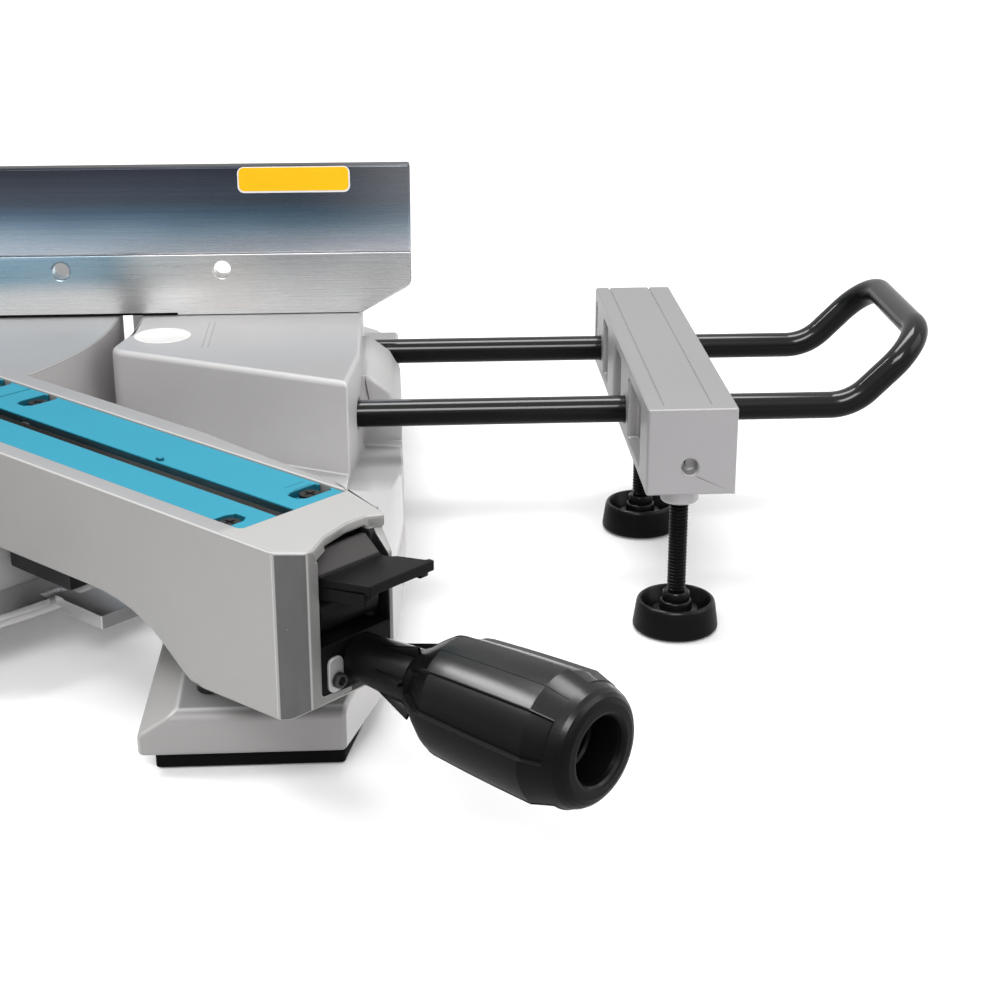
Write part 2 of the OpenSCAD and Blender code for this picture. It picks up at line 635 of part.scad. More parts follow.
// Head, drawn in its lowered place and swung up to rest
module guard_disc(r, t) {
  xc(r, t, bl_y, bl_z);
}
module head_casting() color([0.66, 0.66, 0.64]) headed()
  difference() {
    union() {
      difference() {
        guard_disc(guard_r, [-guard_w, guard_w]);
        bx([-40, 40], [-400, 400], [0, guard_cut]);
      }
      xc(18, [-35.5, 35.5], head_y0, head_z0);
      plate_x([-24, 24], [[head_y0, head_z0 + 18], [head_y0 + 4, head_z0 - 17], [128, 268], [80, 250],
        [80, 350], [140, 346]]);
      xc(44, [guard_w - 1, 38.5], bl_y, bl_z);
      xc(motor_r + 2, [guard_w - 1, 38.5], mo_y, mo_z);
    }
    difference() {
      guard_disc(guard_in, [-guard_in_w, guard_in_w]);
      guard_disc(hub_r, [12, guard_in_w + 1]);
    }
    xc(hp_r + run, [-50, 50], head_y0, head_z0);
    xc(gear_r + 1.2, [28, 50], bl_y, bl_z);
    xc(pinion_r + 1.2, [28, 50], mo_y, mo_z);
    guard_disc(34, [-50, 0]);
    spout_place() cylinder(r = spout_in_r - spout_step, h = 40, center = true);
    guard_disc(spindle_r + run, [0, 50]);
  }
module arbor_cover() color([0.66, 0.66, 0.64]) headed() {
  guard_disc(37, [-guard_w - 3, -guard_w]);
  for (a = [45, 135, 225, 315]) translate([0, bl_y, bl_z]) rotate([a, 0, 0])
    xc(3, [-guard_w - 4.5, -guard_w - 2], 0, 31);
}
module motor_housing() color([0.08, 0.32, 0.38]) headed()
  difference() {
    union() {
      xc(44, [38.5, 46], bl_y, bl_z);
      xc(motor_r + 2, [38.5, 46], mo_y, mo_z);
      translate([45, mo_y, mo_z]) rotate([0, 90, 0]) rotate_extrude() polygon([[0, 0], [motor_r, 0],
        [motor_r, motor_end - 60], [motor_r - 2, motor_end - 53], [motor_r - 12, motor_end - 45],
          [0, motor_end - 45]]);
      yc(11, 170, [mo_y + 30, mo_y + motor_r + 6], mo_z);
    }
    xc(motor_r - 5, [50, motor_end - 14], mo_y, mo_z);
    xc(6 + run, [30, motor_end - 4], mo_y, mo_z);
    guard_disc(spindle_r + run, [30, 43]);
    for (a = [0 : 30 : 330]) translate([0, mo_y, mo_z]) rotate([a, 0, 0])
      bx([motor_end - 20, motor_end + 5], [-2.5, 2.5], [16, motor_r - 14]);
  }
handle_out = [[-70, 322], [-252, 384], [-260, 398], [-240, 446], [-226, 452], [-120, 428], [-92, 402],
  [-72, 337]];
handle_in = [[-138, 362], [-226, 391], [-232, 400], [-224, 424], [-214, 427], [-132, 408], [-122, 396],
  [-124, 374]];
// The handle sits on the guard, so it moves out with the guard radius
module handle_place() {
  translate([0, -0.61 * guard_grow, 0.79 * guard_grow]) children();
}
module handle_shell(t) {
  difference() {
    handle_place() difference() {
      plate_x(t, handle_out);
      plate_x([-30, 30], handle_in);
      bx([-6.2, 6.2], [-208, -160], [396, 436]);
      xc(trigger_pin_r + run, [-9.5, 9.5], trigger_at[0], trigger_at[1]);
      xc(button_r + run, [-30, 30], button_at[0], button_at[1]);
    }
    guard_disc(guard_r + 0.05, [-60, 60]);
  }
}
module handle_left() color([0.05, 0.05, 0.05]) headed() handle_shell([-16, 0]);
module handle_right() color([0.05, 0.05, 0.05]) headed() handle_shell([0, 16]);
module trigger() color([0.7, 0.1, 0.08]) headed() handle_place() {
  xc(trigger_pin_r, [-9, 9], trigger_at[0], trigger_at[1]);
  plate_x([-6, 6], [[-204, 434], [-166, 426], [-166, 414], [-172, 404], [-190, 406], [-204, 416]]);
}
module lock_off_button() color([0.7, 0.1, 0.08]) headed() handle_place()
  xc(button_r, [-19, 19], button_at[0], button_at[1]);
module carry_handle() color([0.05, 0.05, 0.05]) headed()
  difference() {
    translate([0, 0, guard_grow]) difference() {
      plate_x([-11, 11], [[45, 330], [45, 450], [34, 462], [-54, 462], [-66, 450], [-66, 330]]);
      plate_x([-20, 20], [[29, 320], [29, 440], [24, 446], [-45, 446], [-50, 440], [-50, 320]]);
    }
    guard_disc(guard_r + 0.05, [-60, 60]);
  }
module spout_place() {
  translate([0, bl_y + 0.6426 * spout_seat, bl_z + 0.7662 * spout_seat]) rotate([-20, 0, 0]) children();
}
module dust_spout() color([0.05, 0.05, 0.05]) headed()
  difference() {
    spout_place() difference() {
      translate([0, 0, -20]) cylinder(r = spout_in_r + 4, h = spout_len + 20);
      translate([0, 0, -30]) cylinder(r = spout_in_r - spout_step, h = 110);
      translate([0, 0, spout_len - spout_deep]) cylinder(r = spout_in_r, h = spout_deep + 5);
    }
    guard_disc(guard_r + 0.05, [-60, 60]);
  }
module cord_gland() color([0.05, 0.05, 0.05]) headed()
  difference() {
    union() {
      yc(9, 170, [mo_y + motor_r + 6, mo_y + motor_r + 12], mo_z);
      yc(6.5, 170, [mo_y + motor_r + 11, mo_y + motor_r + 30], mo_z);
    }
    yc(4, 170, [mo_y + motor_r + 10, mo_y + motor_r + 40], mo_z);
  }
tooth_pts = [for (i = [0 : teeth - 1]) for (p = [[blade_r, 0], [blade_r - 1, 0.3], [blade_r - 9, 0.42],
  [blade_r - 8, 0.98]])
  [p[0] * cos((i + p[1]) * 360 / teeth), p[0] * sin((i + p[1]) * 360 / teeth)]];
module saw_blade() color([0.78, 0.78, 0.8]) headed()
  difference() {
    translate([-blade_t / 2, bl_y, bl_z]) rotate([90, 0, 90]) linear_extrude(blade_t) polygon(tooth_pts);
    guard_disc(spindle_r + fit, [-10, 10]);
  }
module blade_flanges() color([0.45, 0.45, 0.45]) headed()
  difference() {
    union() {
      guard_disc(24, [blade_t / 2, 6]);
      guard_disc(24, [-6, -blade_t / 2]);
    }
    guard_disc(spindle_r + fit, [-10, 10]);
  }
module arbor_bolt() color([0.3, 0.3, 0.3]) headed()
  difference() {
    union() {
      guard_disc(10.5, [-13, -6]);
      guard_disc(5, [-6.5, 8]);
    }
    translate([-14, bl_y, bl_z]) rotate([0, 90, 0]) cylinder(r = 4.6, h = 5, $fn = 6);
  }
module spindle() color([0.5, 0.5, 0.5]) headed()
  difference() {
    union() {
      guard_disc(spindle_r, [-5.8, 42]);
      guard_disc(15, [6, 11.6]);
      guard_disc(gear_r, [28.6, 38]);
    }
    guard_disc(5 + fit, [-10, 9]);
  }
module armature() color([0.6, 0.4, 0.25]) headed() {
  xc(6, [29, motor_end - 6], mo_y, mo_z);
  xc(pinion_r, [28.6, 38], mo_y, mo_z);
  xc(38, [56, 66], mo_y, mo_z);
  xc(32, [76, 150], mo_y, mo_z);
  xc(18, [160, 180], mo_y, mo_z);
}
// Lower guard: covers the open part of the blade while the head is up
module guard_sector(t, r) {
  a = 77.5;
  intersection() {
    guard_disc(r, t);
    translate([0, bl_y, bl_z]) plate_x([-40, 40], [[0, 0], [-260 * sin(a), -260 * cos(a)], [-260, -300],
      [260, -300], [260 * sin(a), -260 * cos(a)]]);
  }
}
module lower_guard() color([0.6, 0.3, 0.1]) headed()
  difference() {
    union() {
      difference() {
        guard_sector([-17, 17], lower_r);
        guard_disc(lower_r - 3, [-14, 14]);
        guard_disc(60, [-20, 0]);
        guard_disc(hub_r + 7, [0, 20]);
      }
      guard_disc(hub_r + 8, [14, 17]);
    }
    guard_disc(hub_r + run, [0, 30]);
  }

base_casting();
foot_pads();
detent_plate();
detent_screws();
mitre_scale();
pivot_bolt();
fixed_fence_right();
fixed_fence_left();
fence_bolts();
sliding_fence_right();
sliding_fence_left();
fence_clamp_right();
fence_clamp_left();
right_ubar();
right_support();
left_ubar();
left_support();
right_front_foot();
right_rear_foot();
left_front_foot();
left_rear_foot();
turntable();
board_front_right();
board_front_left();
board_rear_right();
board_rear_left();
board_screws();
lever_pin();
bevel_pin();
grip_bracket();
mitre_grip();
lock_plunger();
lock_lever();
detent_pawl();
bevel_arm();
rail_bushes();
bevel_scale();
bevel_lock_lever();
rail_lock_knob();
carriage();
slide_rails();
rail_end_cap();
hinge_pin();
stop_pin();
head_casting();
arbor_cover();
motor_housing();
handle_left();
handle_right();
carry_handle();
dust_spout();
cord_gland();
saw_blade();
blade_flanges();
arbor_bolt();
spindle();
armature();
lower_guard();
trigger();
lock_off_button();
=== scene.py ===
# Looks of a sliding mitre saw with table extensions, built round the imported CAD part.
import bmesh
import bpy
import json
from math import atan2, degrees, radians
from mathutils import Matrix, Vector


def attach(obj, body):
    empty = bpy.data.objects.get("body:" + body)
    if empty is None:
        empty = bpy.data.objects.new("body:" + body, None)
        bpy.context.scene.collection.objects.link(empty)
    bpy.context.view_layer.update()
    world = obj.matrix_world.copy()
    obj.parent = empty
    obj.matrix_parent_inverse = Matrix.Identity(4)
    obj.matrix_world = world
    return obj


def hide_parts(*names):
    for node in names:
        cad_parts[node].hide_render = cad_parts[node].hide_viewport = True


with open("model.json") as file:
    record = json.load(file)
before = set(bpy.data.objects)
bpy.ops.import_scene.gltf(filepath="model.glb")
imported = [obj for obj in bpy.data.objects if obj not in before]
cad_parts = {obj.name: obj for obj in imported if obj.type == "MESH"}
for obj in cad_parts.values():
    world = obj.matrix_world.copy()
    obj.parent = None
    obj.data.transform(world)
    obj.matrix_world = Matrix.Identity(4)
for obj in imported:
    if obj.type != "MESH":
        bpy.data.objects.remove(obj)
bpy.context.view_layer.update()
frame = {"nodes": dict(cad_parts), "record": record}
record = frame["record"]
BODY = {node: body for body, nodes in record["behaviour"]["bodies"].items() for node in nodes}
SLOT = {part["node"]: part["material_slot"] for part in record["subparts"]}
MM = 0.001
MITRE = radians(45)
DIAGONAL = 0.70711  # share of a unit step along the arm that lies on X, and on Y
# Black used as painted shade: inside the arm's mouth and along the lower fence's foot
SHADE_BLACK = (0.006, 0.006, 0.006)
# The arm turned to its mitre and the head raised on its hinge, in metres; the blade's centre and the motor's axis
# on the head before it is raised, in millimetres
ARM = Matrix.Rotation(MITRE, 4, "Z")
HINGE, RAISED = Vector((0, 0.172, 0.330)), radians(-45)
BLADE_CENTRE = (0, -30, 246)
MOTOR_Y, MOTOR_Z = -12, 293
HEAD = ARM @ Matrix.Translation(HINGE) @ Matrix.Rotation(RAISED, 4, "X") @ Matrix.Translation(-HINGE)


# Finishes: a socket wrapped so that sums and products of values add their own Math nodes
class Wire:
    def __init__(self, tree, socket):
        self.tree, self.socket = tree, socket

    def node(self, kind, settings=(), plugs=(), out=0):
        made = self.tree.nodes.new(kind)
        for key, value in dict(settings).items():
            if key == "stops":
                while len(made.color_ramp.elements) < len(value):
                    made.color_ramp.elements.new(0.5)
                for stop, (at, tone) in zip(made.color_ramp.elements, value):
                    stop.position, stop.color = at, tone
            else:
                setattr(made, key, value)
        for key, value in dict(plugs).items():
            if isinstance(value, Wire):
                self.tree.links.new(value.socket, made.inputs[key])
            else:
                made.inputs[key].default_value = value
        return Wire(self.tree, made.outputs[out])

    def math(self, operation, a, b):
        return self.node("ShaderNodeMath", {"operation": operation}, {0: a, 1: b})

    def __add__(self, other):
        return self.math("ADD", self, other)

    __radd__ = __add__

    def __sub__(self, other):
        return self.math("SUBTRACT", self, other)

    def __rsub__(self, other):
        return self.math("SUBTRACT", other, self)

    def __mul__(self, other):
        return self.math("MULTIPLY", self, other)

    __rmul__ = __mul__

    def __truediv__(self, other):
        return self.math("DIVIDE", self, other)

    def step(self, low, high):
        """0 below low, 1 above high, smooth between."""
        return self.node("ShaderNodeMapRange", {"interpolation_type": "SMOOTHSTEP"},
                         {"Value": self, "From Min": low, "From Max": high})

    def band(self, low, high):
        """1 between low and high, else 0."""
        return self.math("GREATER_THAN", self, low) * self.math("LESS_THAN", self, high)

    def axis(self, index):
        return self.node("ShaderNodeSeparateXYZ", (), {0: self}, index)

    def stretched(self, x, y, z, turn=0.0):
        return self.node("ShaderNodeMapping", (), {"Vector": self, "Scale": (x, y, z), "Rotation": (0, 0, turn)})

    def grain(self, scale, detail, rough=0.55):
        return self.node("ShaderNodeTexNoise", (),
                         {"Vector": self, "Scale": scale, "Detail": detail, "Roughness": rough})

    def tone(self, low, high):
        """Colour between two tones by this value."""
        return self.node("ShaderNodeMix", {"data_type": "RGBA"}, {0: self, 6: (*low, 1), 7: (*high, 1)}, 2)

    def over(self, under, upper):
        """Colour from under where this is 0 and upper where it is 1."""
        upper = upper if isinstance(upper, Wire) else (*upper, 1)
        return self.node("ShaderNodeMix", {"data_type": "RGBA"}, {0: self, 6: under, 7: upper}, 2)

    def bump(self, depth, strength):
        return self.node("ShaderNodeBump", (), {"Strength": strength, "Distance": depth, "Height": self})


def new_finish(name, **fixed):
    """A finish with its fixed socket values set, and the wires for place and surface direction on the piece."""
    made = bpy.data.materials.new(name)
    made.use_nodes = True
    tree = made.node_tree
    shader = tree.nodes["Principled BSDF"]
    for socket, value in fixed.items():
        shader.inputs[socket.replace("_", " ")].default_value = value
    coord = tree.nodes.new("ShaderNodeTexCoord")
    return made, shader, Wire(tree, coord.outputs["Object"]), Wire(tree, coord.outputs["Normal"])


def feed(shader, **wires):
    for socket, wire in wires.items():
        wire.tree.links.new(wire.socket, shader.inputs[socket.replace("_", " ")])


def arm_axes(place):
    """Place across and along the arm, which stands turned by the mitre angle."""
    across = (place.axis(0) + place.axis(1)) * DIAGONAL
    along = (place.axis(0) - place.axis(1)) * DIAGONAL
    return across, along


# Places on the table, in metres: where the arm's pale end starts, where the painted light on the disc's rim, the
# painted shade on the chamfer and the painted shade on the end face start or end, and the span of the painted shade
# inside the mouth across, along and upward
PALE_END_FROM = (0.372, 0.376)
RIM_FROM, RIM_TO = (0.168, 0.173), (0.178, 0.182)
CHAMFER_FROM = (0.262, 0.27)
END_FACE_FROM = (0.4, 0.402)
MOUTH_ACROSS, MOUTH_ALONG, MOUTH_HEIGHT = (-0.0173, 0.0173), (0.37, 0.4094), (0.044, 0.0972)


def table_tones(colour, place, facing, top, milled):
    """Adds the arm's paler end, painted light on the rim of the disc, and painted shade on the chamfer, end face and
    mouth.
    """
    across, along = arm_axes(place)
    colour = (top * along.step(*PALE_END_FROM)).over(colour, (0.46, 0.457, 0.45))
    outward = place.axis(0) * facing.axis(0) + place.axis(1) * facing.axis(1)
    # Painted light: the side of the disc's rim, which stands in shade, is made lighter
    lit_rim = outward.step(*RIM_FROM) * (1 - outward.step(*RIM_TO))
    colour = (lit_rim * 0.9).over(colour, (0.56, 0.54, 0.545))
    # Painted shade: the chamfer at the arm's front is darkened, standing in for the dark surroundings it reflects
    shaded_chamfer = (0 - facing.axis(1)).step(0.97, 0.99) * (0 - place.axis(1)).step(*CHAMFER_FROM)
    colour = (shaded_chamfer * 0.95).over(colour, milled.tone((0.045, 0.044, 0.045), (0.075, 0.074, 0.075)))
    # Painted shade: the arm's end face, which the lights strike hard, is darkened
    end = ((facing.axis(0) - facing.axis(1)) * DIAGONAL).step(0.9, 0.97) * along.step(*END_FACE_FROM)
    colour = (end * 0.9).over(colour, (0.17, 0.168, 0.165))
    # Painted shade: the walls inside the arm's mouth are made black
    shaded_mouth = across.band(*MOUTH_ACROSS) * along.band(*MOUTH_ALONG) * place.axis(2).band(*MOUTH_HEIGHT)
    return (shaded_mouth * 0.97).over(colour, SHADE_BLACK)


# Places on the base, in metres: the two lines on the right wing, and the front feet, whose faces get painted shade
WING_LINES, WING_LINE_REACH = ((0.2184, 0.2190), (0.2210, 0.2216)), (-0.0568, -0.0125)
FOOT_BELOW, FOOT_FROM = (0.056, 0.06), (0.2, 0.205)


def base_tones(colour, place, facing, top, _):
    """Adds the lines on the right wing and painted shade on the front, top and left faces of the front feet."""
    lines = place.axis(0).band(*WING_LINES[0]) + place.axis(0).band(*WING_LINES[1])
    lines = lines * place.axis(1).band(*WING_LINE_REACH) * top
    colour = (lines * 0.5).over(colour, (0.16, 0.16, 0.16))
    # Painted shade: the front feet's faces turned to the front, to the top and to the left are darkened
    foot = (1 - place.axis(2).step(*FOOT_BELOW)) * (0 - place.axis(1)).step(*FOOT_FROM)
    front_shade_mask, side_shade_mask = (0 - facing.axis(1)).step(0.3, 0.6), (0 - facing.axis(0)).step(0.25, 0.5)
    for turned, tone in ((front_shade_mask, (0.245, 0.238, 0.236)), (top, (0.24, 0.235, 0.233)), (side_shade_mask, (0.36, 0.355, 0.35))):
        colour = (foot * turned * 0.9).over(colour, tone)
    return colour


def cast_finish(name, low, high, rough, metal, machined_top_and_light, sand=0.00006, front=None, tones=None):
    """Blasted cast alloy with a flatter machined top whose tone also serves as painted light, a painted highlight on
    bevels turned half up, and painted shade on faces to the front when front is given; tones adds the marks and
    painted light of one casting alone.
    """
    made, shader, place, facing = new_finish(name, Metallic=metal)
    cloud = place.grain(22.0, 4.0)
    fine = place.grain(1500.0, 2.0, 0.7)
    top = facing.axis(2).step(0.93, 0.99)
    milled = place.stretched(60.0, 2600.0, 60.0, MITRE).grain(1.0, 2.0)
    colour = (cloud * 0.65 + fine * 0.35).tone(low, high)
    # Painted shade: faces turned to the front take the darker front tone
    if front:
        front_shade_mask = (0 - facing.axis(1)).step(0.6, 0.9)
        colour = (front_shade_mask * 0.85).over(colour, front)
    # Machined top, whose tone is also set as painted light against the sides
    colour = (top * (0.85 + 0.15 * cloud)).over(colour, machined_top_and_light)
    # Painted highlight: bevels turned half up are made paler, as if they caught the light
    edge = facing.axis(2).step(0.45, 0.6) * (1 - facing.axis(2).step(0.8, 0.92))
    colour = (edge * 0.5).over(colour, (0.58, 0.575, 0.57))
    if tones:
        colour = tones(colour, place, facing, top, milled)
    feed(shader, Base_Color=colour, Roughness=rough + 0.1 * cloud - 0.12 * top,
         Normal=((1 - top) * fine + top * 0.25 * milled).bump(sand, 0.55))
    return made


def brushed_finish(name, low, high, rough, metal, along=(300.0, 300.0, 300.0), depth=0.00002):
    """Metal with fine lines, drawn out along an axis whose scale is small."""
    made, shader, place, _ = new_finish(name, Metallic=metal)
    lines = place.stretched(*along).grain(1.0, 4.0, 0.65)
    cloud = place.grain(9.0, 2.0)
    feed(shader, Base_Color=(lines * 0.6 + cloud * 0.4).tone(low, high), Roughness=rough + 0.14 * lines,
         Normal=lines.bump(depth, 0.4))
    return made


# Height of the lower fences, in metres
LOW_FENCE = (0.105, 0.1315)


def fence_finish(name, stops, foot, head, gap_shadow=None):
    """Drawn fence metal whose colour runs through the given stops from its foot to its head, a painted reflection
    gradient, with a painted lighter reflection towards the right end, a painted blue reflection low on the left, and
    a warm tint in a band; the lower fence also gets a painted lighter reflection at its left.

    A gap gives a painted shadow line at the foot: the height it reaches, and its ends.
    """
    made, shader, place, _ = new_finish(name, Metallic=0.92)
    along, height = place.axis(0), place.axis(2)
    lines = place.stretched(3.0, 900.0, 900.0).grain(1.0, 4.0, 0.65)
    cloud = place.stretched(9.0, 9.0, 26.0).grain(1.0, 2.0)
    share = (height - foot) / (head - foot) + (cloud - 0.5) * 0.16 + (lines - 0.5) * 0.05
    ramp = [(at, (*tone, 1)) for at, tone in stops]
    # Painted reflection: the colour is read from the stops by height, standing in for the reflected surroundings
    colour = share.node("ShaderNodeValToRGB", {"stops": ramp}, {"Fac": share})
    # Painted reflection: the fences grow lighter towards their right end
    colour = (along.step(0.255, 0.33) * 0.22).over(colour, (0.45, 0.46, 0.48))
    # Painted reflection: a blue tint low on the left of the fences
    sky_reflection = (1 - along.step(0.168, 0.195)) * height.band(*LOW_FENCE) * height.step(0.11, 0.122)
    colour = (sky_reflection * 0.6).over(colour, (0.2, 0.38, 0.5))
    warm = along.step(0.203, 0.215) * (1 - along.step(0.23, 0.25)) * height.band(*LOW_FENCE)
    colour = (warm * 0.35).over(colour, (0.62, 0.5, 0.42))
    if gap_shadow:
        # Painted reflection: the lower fence is made lighter towards its left
        pale_reflection = (1 - along.step(0.21, 0.27)) * (1 - sky_reflection)
        colour = (pale_reflection * 0.6).over(colour, (0.9, 0.895, 0.89))
        reach, near, far = gap_shadow
        # Painted shadow: a black line at the foot, in the gap between fence and table
        gap_shadow_line = (1 - height.step(reach, reach + 0.0002)) * along.band(near, far)
        colour = gap_shadow_line.over(colour, SHADE_BLACK)
    feed(shader, Base_Color=colour, Roughness=0.2 + 0.14 * lines, Normal=lines.bump(0.00002, 0.4))
    return made


# Tick marks on the right front board, along and across the arm, and the height where the lever's hood starts,
# in metres
TICKS, TICK_REACH = ((0.3567, 0.3572), (0.3607, 0.3612)), (0.0165, 0.026)
HOOD_FROM = (0.0903, 0.0909)


def board_tones(colour, place, facing):
    """Adds the tick marks, and painted shade on the boards' side walls."""
    across, along = arm_axes(place)
    marks = along.band(*TICKS[0]) + along.band(*TICKS[1])
    marks = marks * across.band(*TICK_REACH) * facing.axis(2).step(0.9, 0.97)
    colour = (marks * 0.85).over(colour, (0.006, 0.09, 0.13))
    # Painted shade: faces turned to the side are darkened
    wall_shade = 1 - facing.axis(2).step(0.15, 0.35)
    return (wall_shade * 0.75).over(colour, (0.0, 0.05, 0.078))


def lever_tones(colour, place, _):
    """Adds the greyer hood of the lever."""
    return (place.axis(2).step(*HOOD_FROM) * 0.9).over(colour, (0.075, 0.07, 0.07))


def moulded_finish(name, low, high, rough, pebble=900.0, depth=0.00005, sheen=0.0, gloss=0.5, tones=None):
    """Moulded plastic or rubber with a fine eroded grain, a few worn patches and a sheen on the faces turned up."""
    made, shader, place, facing = new_finish(name, Coat_Roughness=0.24, Specular_IOR_Level=gloss)
    grain = place.grain(pebble, 2.0, 0.6)
    wear = place.grain(35.0, 3.0, 0.6)
    colour = (wear * 0.7 + grain * 0.3).tone(low, high)
    if tones:
        colour = tones(colour, place, facing)
    feed(shader, Base_Color=colour, Roughness=rough + 0.16 * wear - 0.05 * grain, Normal=grain.bump(depth, 0.5))
    if sheen:
        feed(shader, Coat_Weight=facing.axis(2).step(0.15, 0.9) * (0.75 + 0.5 * wear) * sheen)
    return made


def gloss_paint_finish(name, low, high, rough):
    """Smooth gloss paint with a slight orange peel."""
    made, shader, place, facing = new_finish(name, Coat_Roughness=0.1, Specular_IOR_Level=0.1)
    peel = place.grain(240.0, 2.0, 0.5)
    dust = place.grain(60.0, 4.0, 0.6)
    feed(shader, Base_Color=dust.tone(low, high), Roughness=rough + 0.1 * dust, Normal=peel.bump(0.00004, 0.25),
         Coat_Weight=facing.axis(2).step(-0.1, 0.9))
    return made


def blade_finish(name, centre):
    """Ground blade plate: fine rings round the arbor, and a paler band by the teeth."""
    made, shader, place, _ = new_finish(name, Metallic=1.0)
    reach = place.node("ShaderNodeVectorMath", {"operation": "DISTANCE"}, {0: place, 1: centre}, 1)
    rings = reach.node("ShaderNodeTexNoise", {"noise_dimensions": "1D"},
                       {"W": reach, "Scale": 1400.0, "Detail": 3.0})
    cloud = place.grain(14.0, 3.0)
    colour = (rings * 0.7 + cloud * 0.3).tone((0.46, 0.46, 0.47), (0.68, 0.68, 0.69))
    colour = (reach.step(0.1395, 0.1405) * 0.5).over(colour, (0.78, 0.77, 0.75))
    feed(shader, Base_Color=colour, Roughness=0.2 + 0.18 * rings, Normal=rings.bump(0.00002, 0.4))
    return made


# The third tone of each casting is its machined top, also set as painted light against its sides
cast_grey = cast_finish("cast_grey", (0.5, 0.49, 0.49), (0.6, 0.59, 0.59), 0.5, 0.35, (0.41, 0.41, 0.415),
                        tones=base_tones)
cast_table = cast_finish("cast_table", (0.25, 0.247, 0.241), (0.31, 0.306, 0.3), 0.5, 0.35, (0.37, 0.37, 0.376),
                         tones=table_tones)
cast_head = cast_finish("cast_head", (0.3, 0.296, 0.29), (0.37, 0.366, 0.36), 0.5, 0.3, (0.36, 0.358, 0.355))
# The last tone of cast_support is painted shade on its faces turned to the front
cast_support = cast_finish("cast_support", (0.33, 0.325, 0.33), (0.41, 0.403, 0.41), 0.42, 0.5, (0.42, 0.413, 0.42),
                           0.00004, (0.285, 0.277, 0.284))
# Stops of painted reflection from the foot to the head of each fence; the lower fence's last numbers place its
# painted shadow line at the foot
fence_low = fence_finish("fence_low", [(0.0, (0.74, 0.73, 0.73)), (0.35, (0.6, 0.6, 0.6)), (0.7, (0.52, 0.52, 0.525)),
                                       (0.96, (0.46, 0.47, 0.48)), (1.0, (0.75, 0.74, 0.75))],
                         0.1024, 0.1315, (0.1034, 0.06, 0.2026))
fence_high = fence_finish("fence_high", [(0.0, (0.6, 0.61, 0.65)), (0.12, (0.42, 0.45, 0.51)),
                                         (0.24, (0.26, 0.32, 0.38)), (0.36, (0.125, 0.18, 0.235)),
                                         (0.48, (0.065, 0.1, 0.14)), (0.6, (0.05, 0.062, 0.082)),
                                         (0.95, (0.026, 0.029, 0.038))], 0.1315, 0.173)
bright_steel = brushed_finish("bright_steel", (0.45, 0.45, 0.46), (0.62, 0.62, 0.63), 0.24, 1.0)
dark_steel = brushed_finish("dark_steel", (0.012, 0.012, 0.013), (0.03, 0.03, 0.031), 0.32, 0.6)
chromed = brushed_finish("chromed", (0.7, 0.7, 0.71), (0.8, 0.8, 0.81), 0.06, 1.0, (20.0, 20.0, 20.0), 0.000004)
bush_bronze = brushed_finish("bush_bronze", (0.45, 0.28, 0.1), (0.6, 0.4, 0.17), 0.3, 1.0, (400.0, 400.0, 400.0))
carbide = brushed_finish("carbide", (0.2, 0.19, 0.18), (0.32, 0.31, 0.3), 0.3, 0.9)
blade_steel = blade_finish("blade_steel", HEAD @ (Vector(BLADE_CENTRE) * MM))
black_paint = gloss_paint_finish("black_paint", (0.001, 0.001, 0.0011), (0.003, 0.003, 0.0032), 0.3)
black_moulded = moulded_finish("black_moulded", (0.002, 0.002, 0.0021), (0.005, 0.005, 0.0053), 0.36,
                               gloss=0.06, sheen=0.8)
lever_moulded = moulded_finish("lever_moulded", (0.003, 0.003, 0.003), (0.006, 0.006, 0.006), 0.42,
                               gloss=0.06, sheen=0.3, tones=lever_tones)
grip_moulded = moulded_finish("grip_moulded", (0.0015, 0.0015, 0.0016), (0.004, 0.004, 0.0042), 0.36,
                              gloss=0.05, sheen=1.0)
dark_moulded = moulded_finish("dark_moulded", (0.002, 0.002, 0.002), (0.005, 0.005, 0.005), 0.5,
                              gloss=0.06, sheen=0.2)
board_blue = moulded_finish("board_blue", (0.019, 0.225, 0.325), (0.027, 0.268, 0.375), 0.5, 1400.0, 0.00002,
                            gloss=0.25, tones=board_tones)
housing_blue = moulded_finish("housing_blue", (0.02, 0.24, 0.31), (0.032, 0.29, 0.37), 0.34, 700.0, 0.00004)
pad_rubber = moulded_finish("pad_rubber", (0.002, 0.002, 0.002), (0.004, 0.004, 0.004), 0.62, 600.0, 0.00008,
                            gloss=0.05)
red_moulded = moulded_finish("red_moulded", (0.42, 0.025, 0.018), (0.55, 0.04, 0.028), 0.38)
guard_smoke = moulded_finish("guard_smoke", (0.09, 0.095, 0.1), (0.14, 0.145, 0.15), 0.2, 300.0, 0.00001, 0.5)
plate_yellow = moulded_finish("plate_yellow", (0.86, 0.47, 0.002), (0.95, 0.53, 0.004), 0.4, 1800.0, 0.00001,
                              gloss=0.2)
plate_white = moulded_finish("plate_white", (0.72, 0.71, 0.70), (0.82, 0.81, 0.80), 0.4, 1800.0, 0.00001)


# Modelling helpers
def begin():
    if bpy.context.mode != "OBJECT":
        bpy.ops.object.mode_set(mode="OBJECT")
    bpy.ops.object.select_all(action="DESELECT")


def pick(piece):
    begin()
    piece.select_set(True)
    bpy.context.view_layer.objects.active = piece


def mark(piece, kind, test):
    """Goes into edit mode with only those vertices, edges or polygons selected that pass a test."""
    kinds = ("vertices", "edges", "polygons")
    pick(piece)
    bpy.context.tool_settings.mesh_select_mode = tuple(kind == each for each in kinds)
    for each in kinds:
        items = getattr(piece.data, each)
        items.foreach_set("select", [False] * len(items))
    for item in getattr(piece.data, kind):
        item.select = test(item)
    bpy.ops.object.mode_set(mode="EDIT")


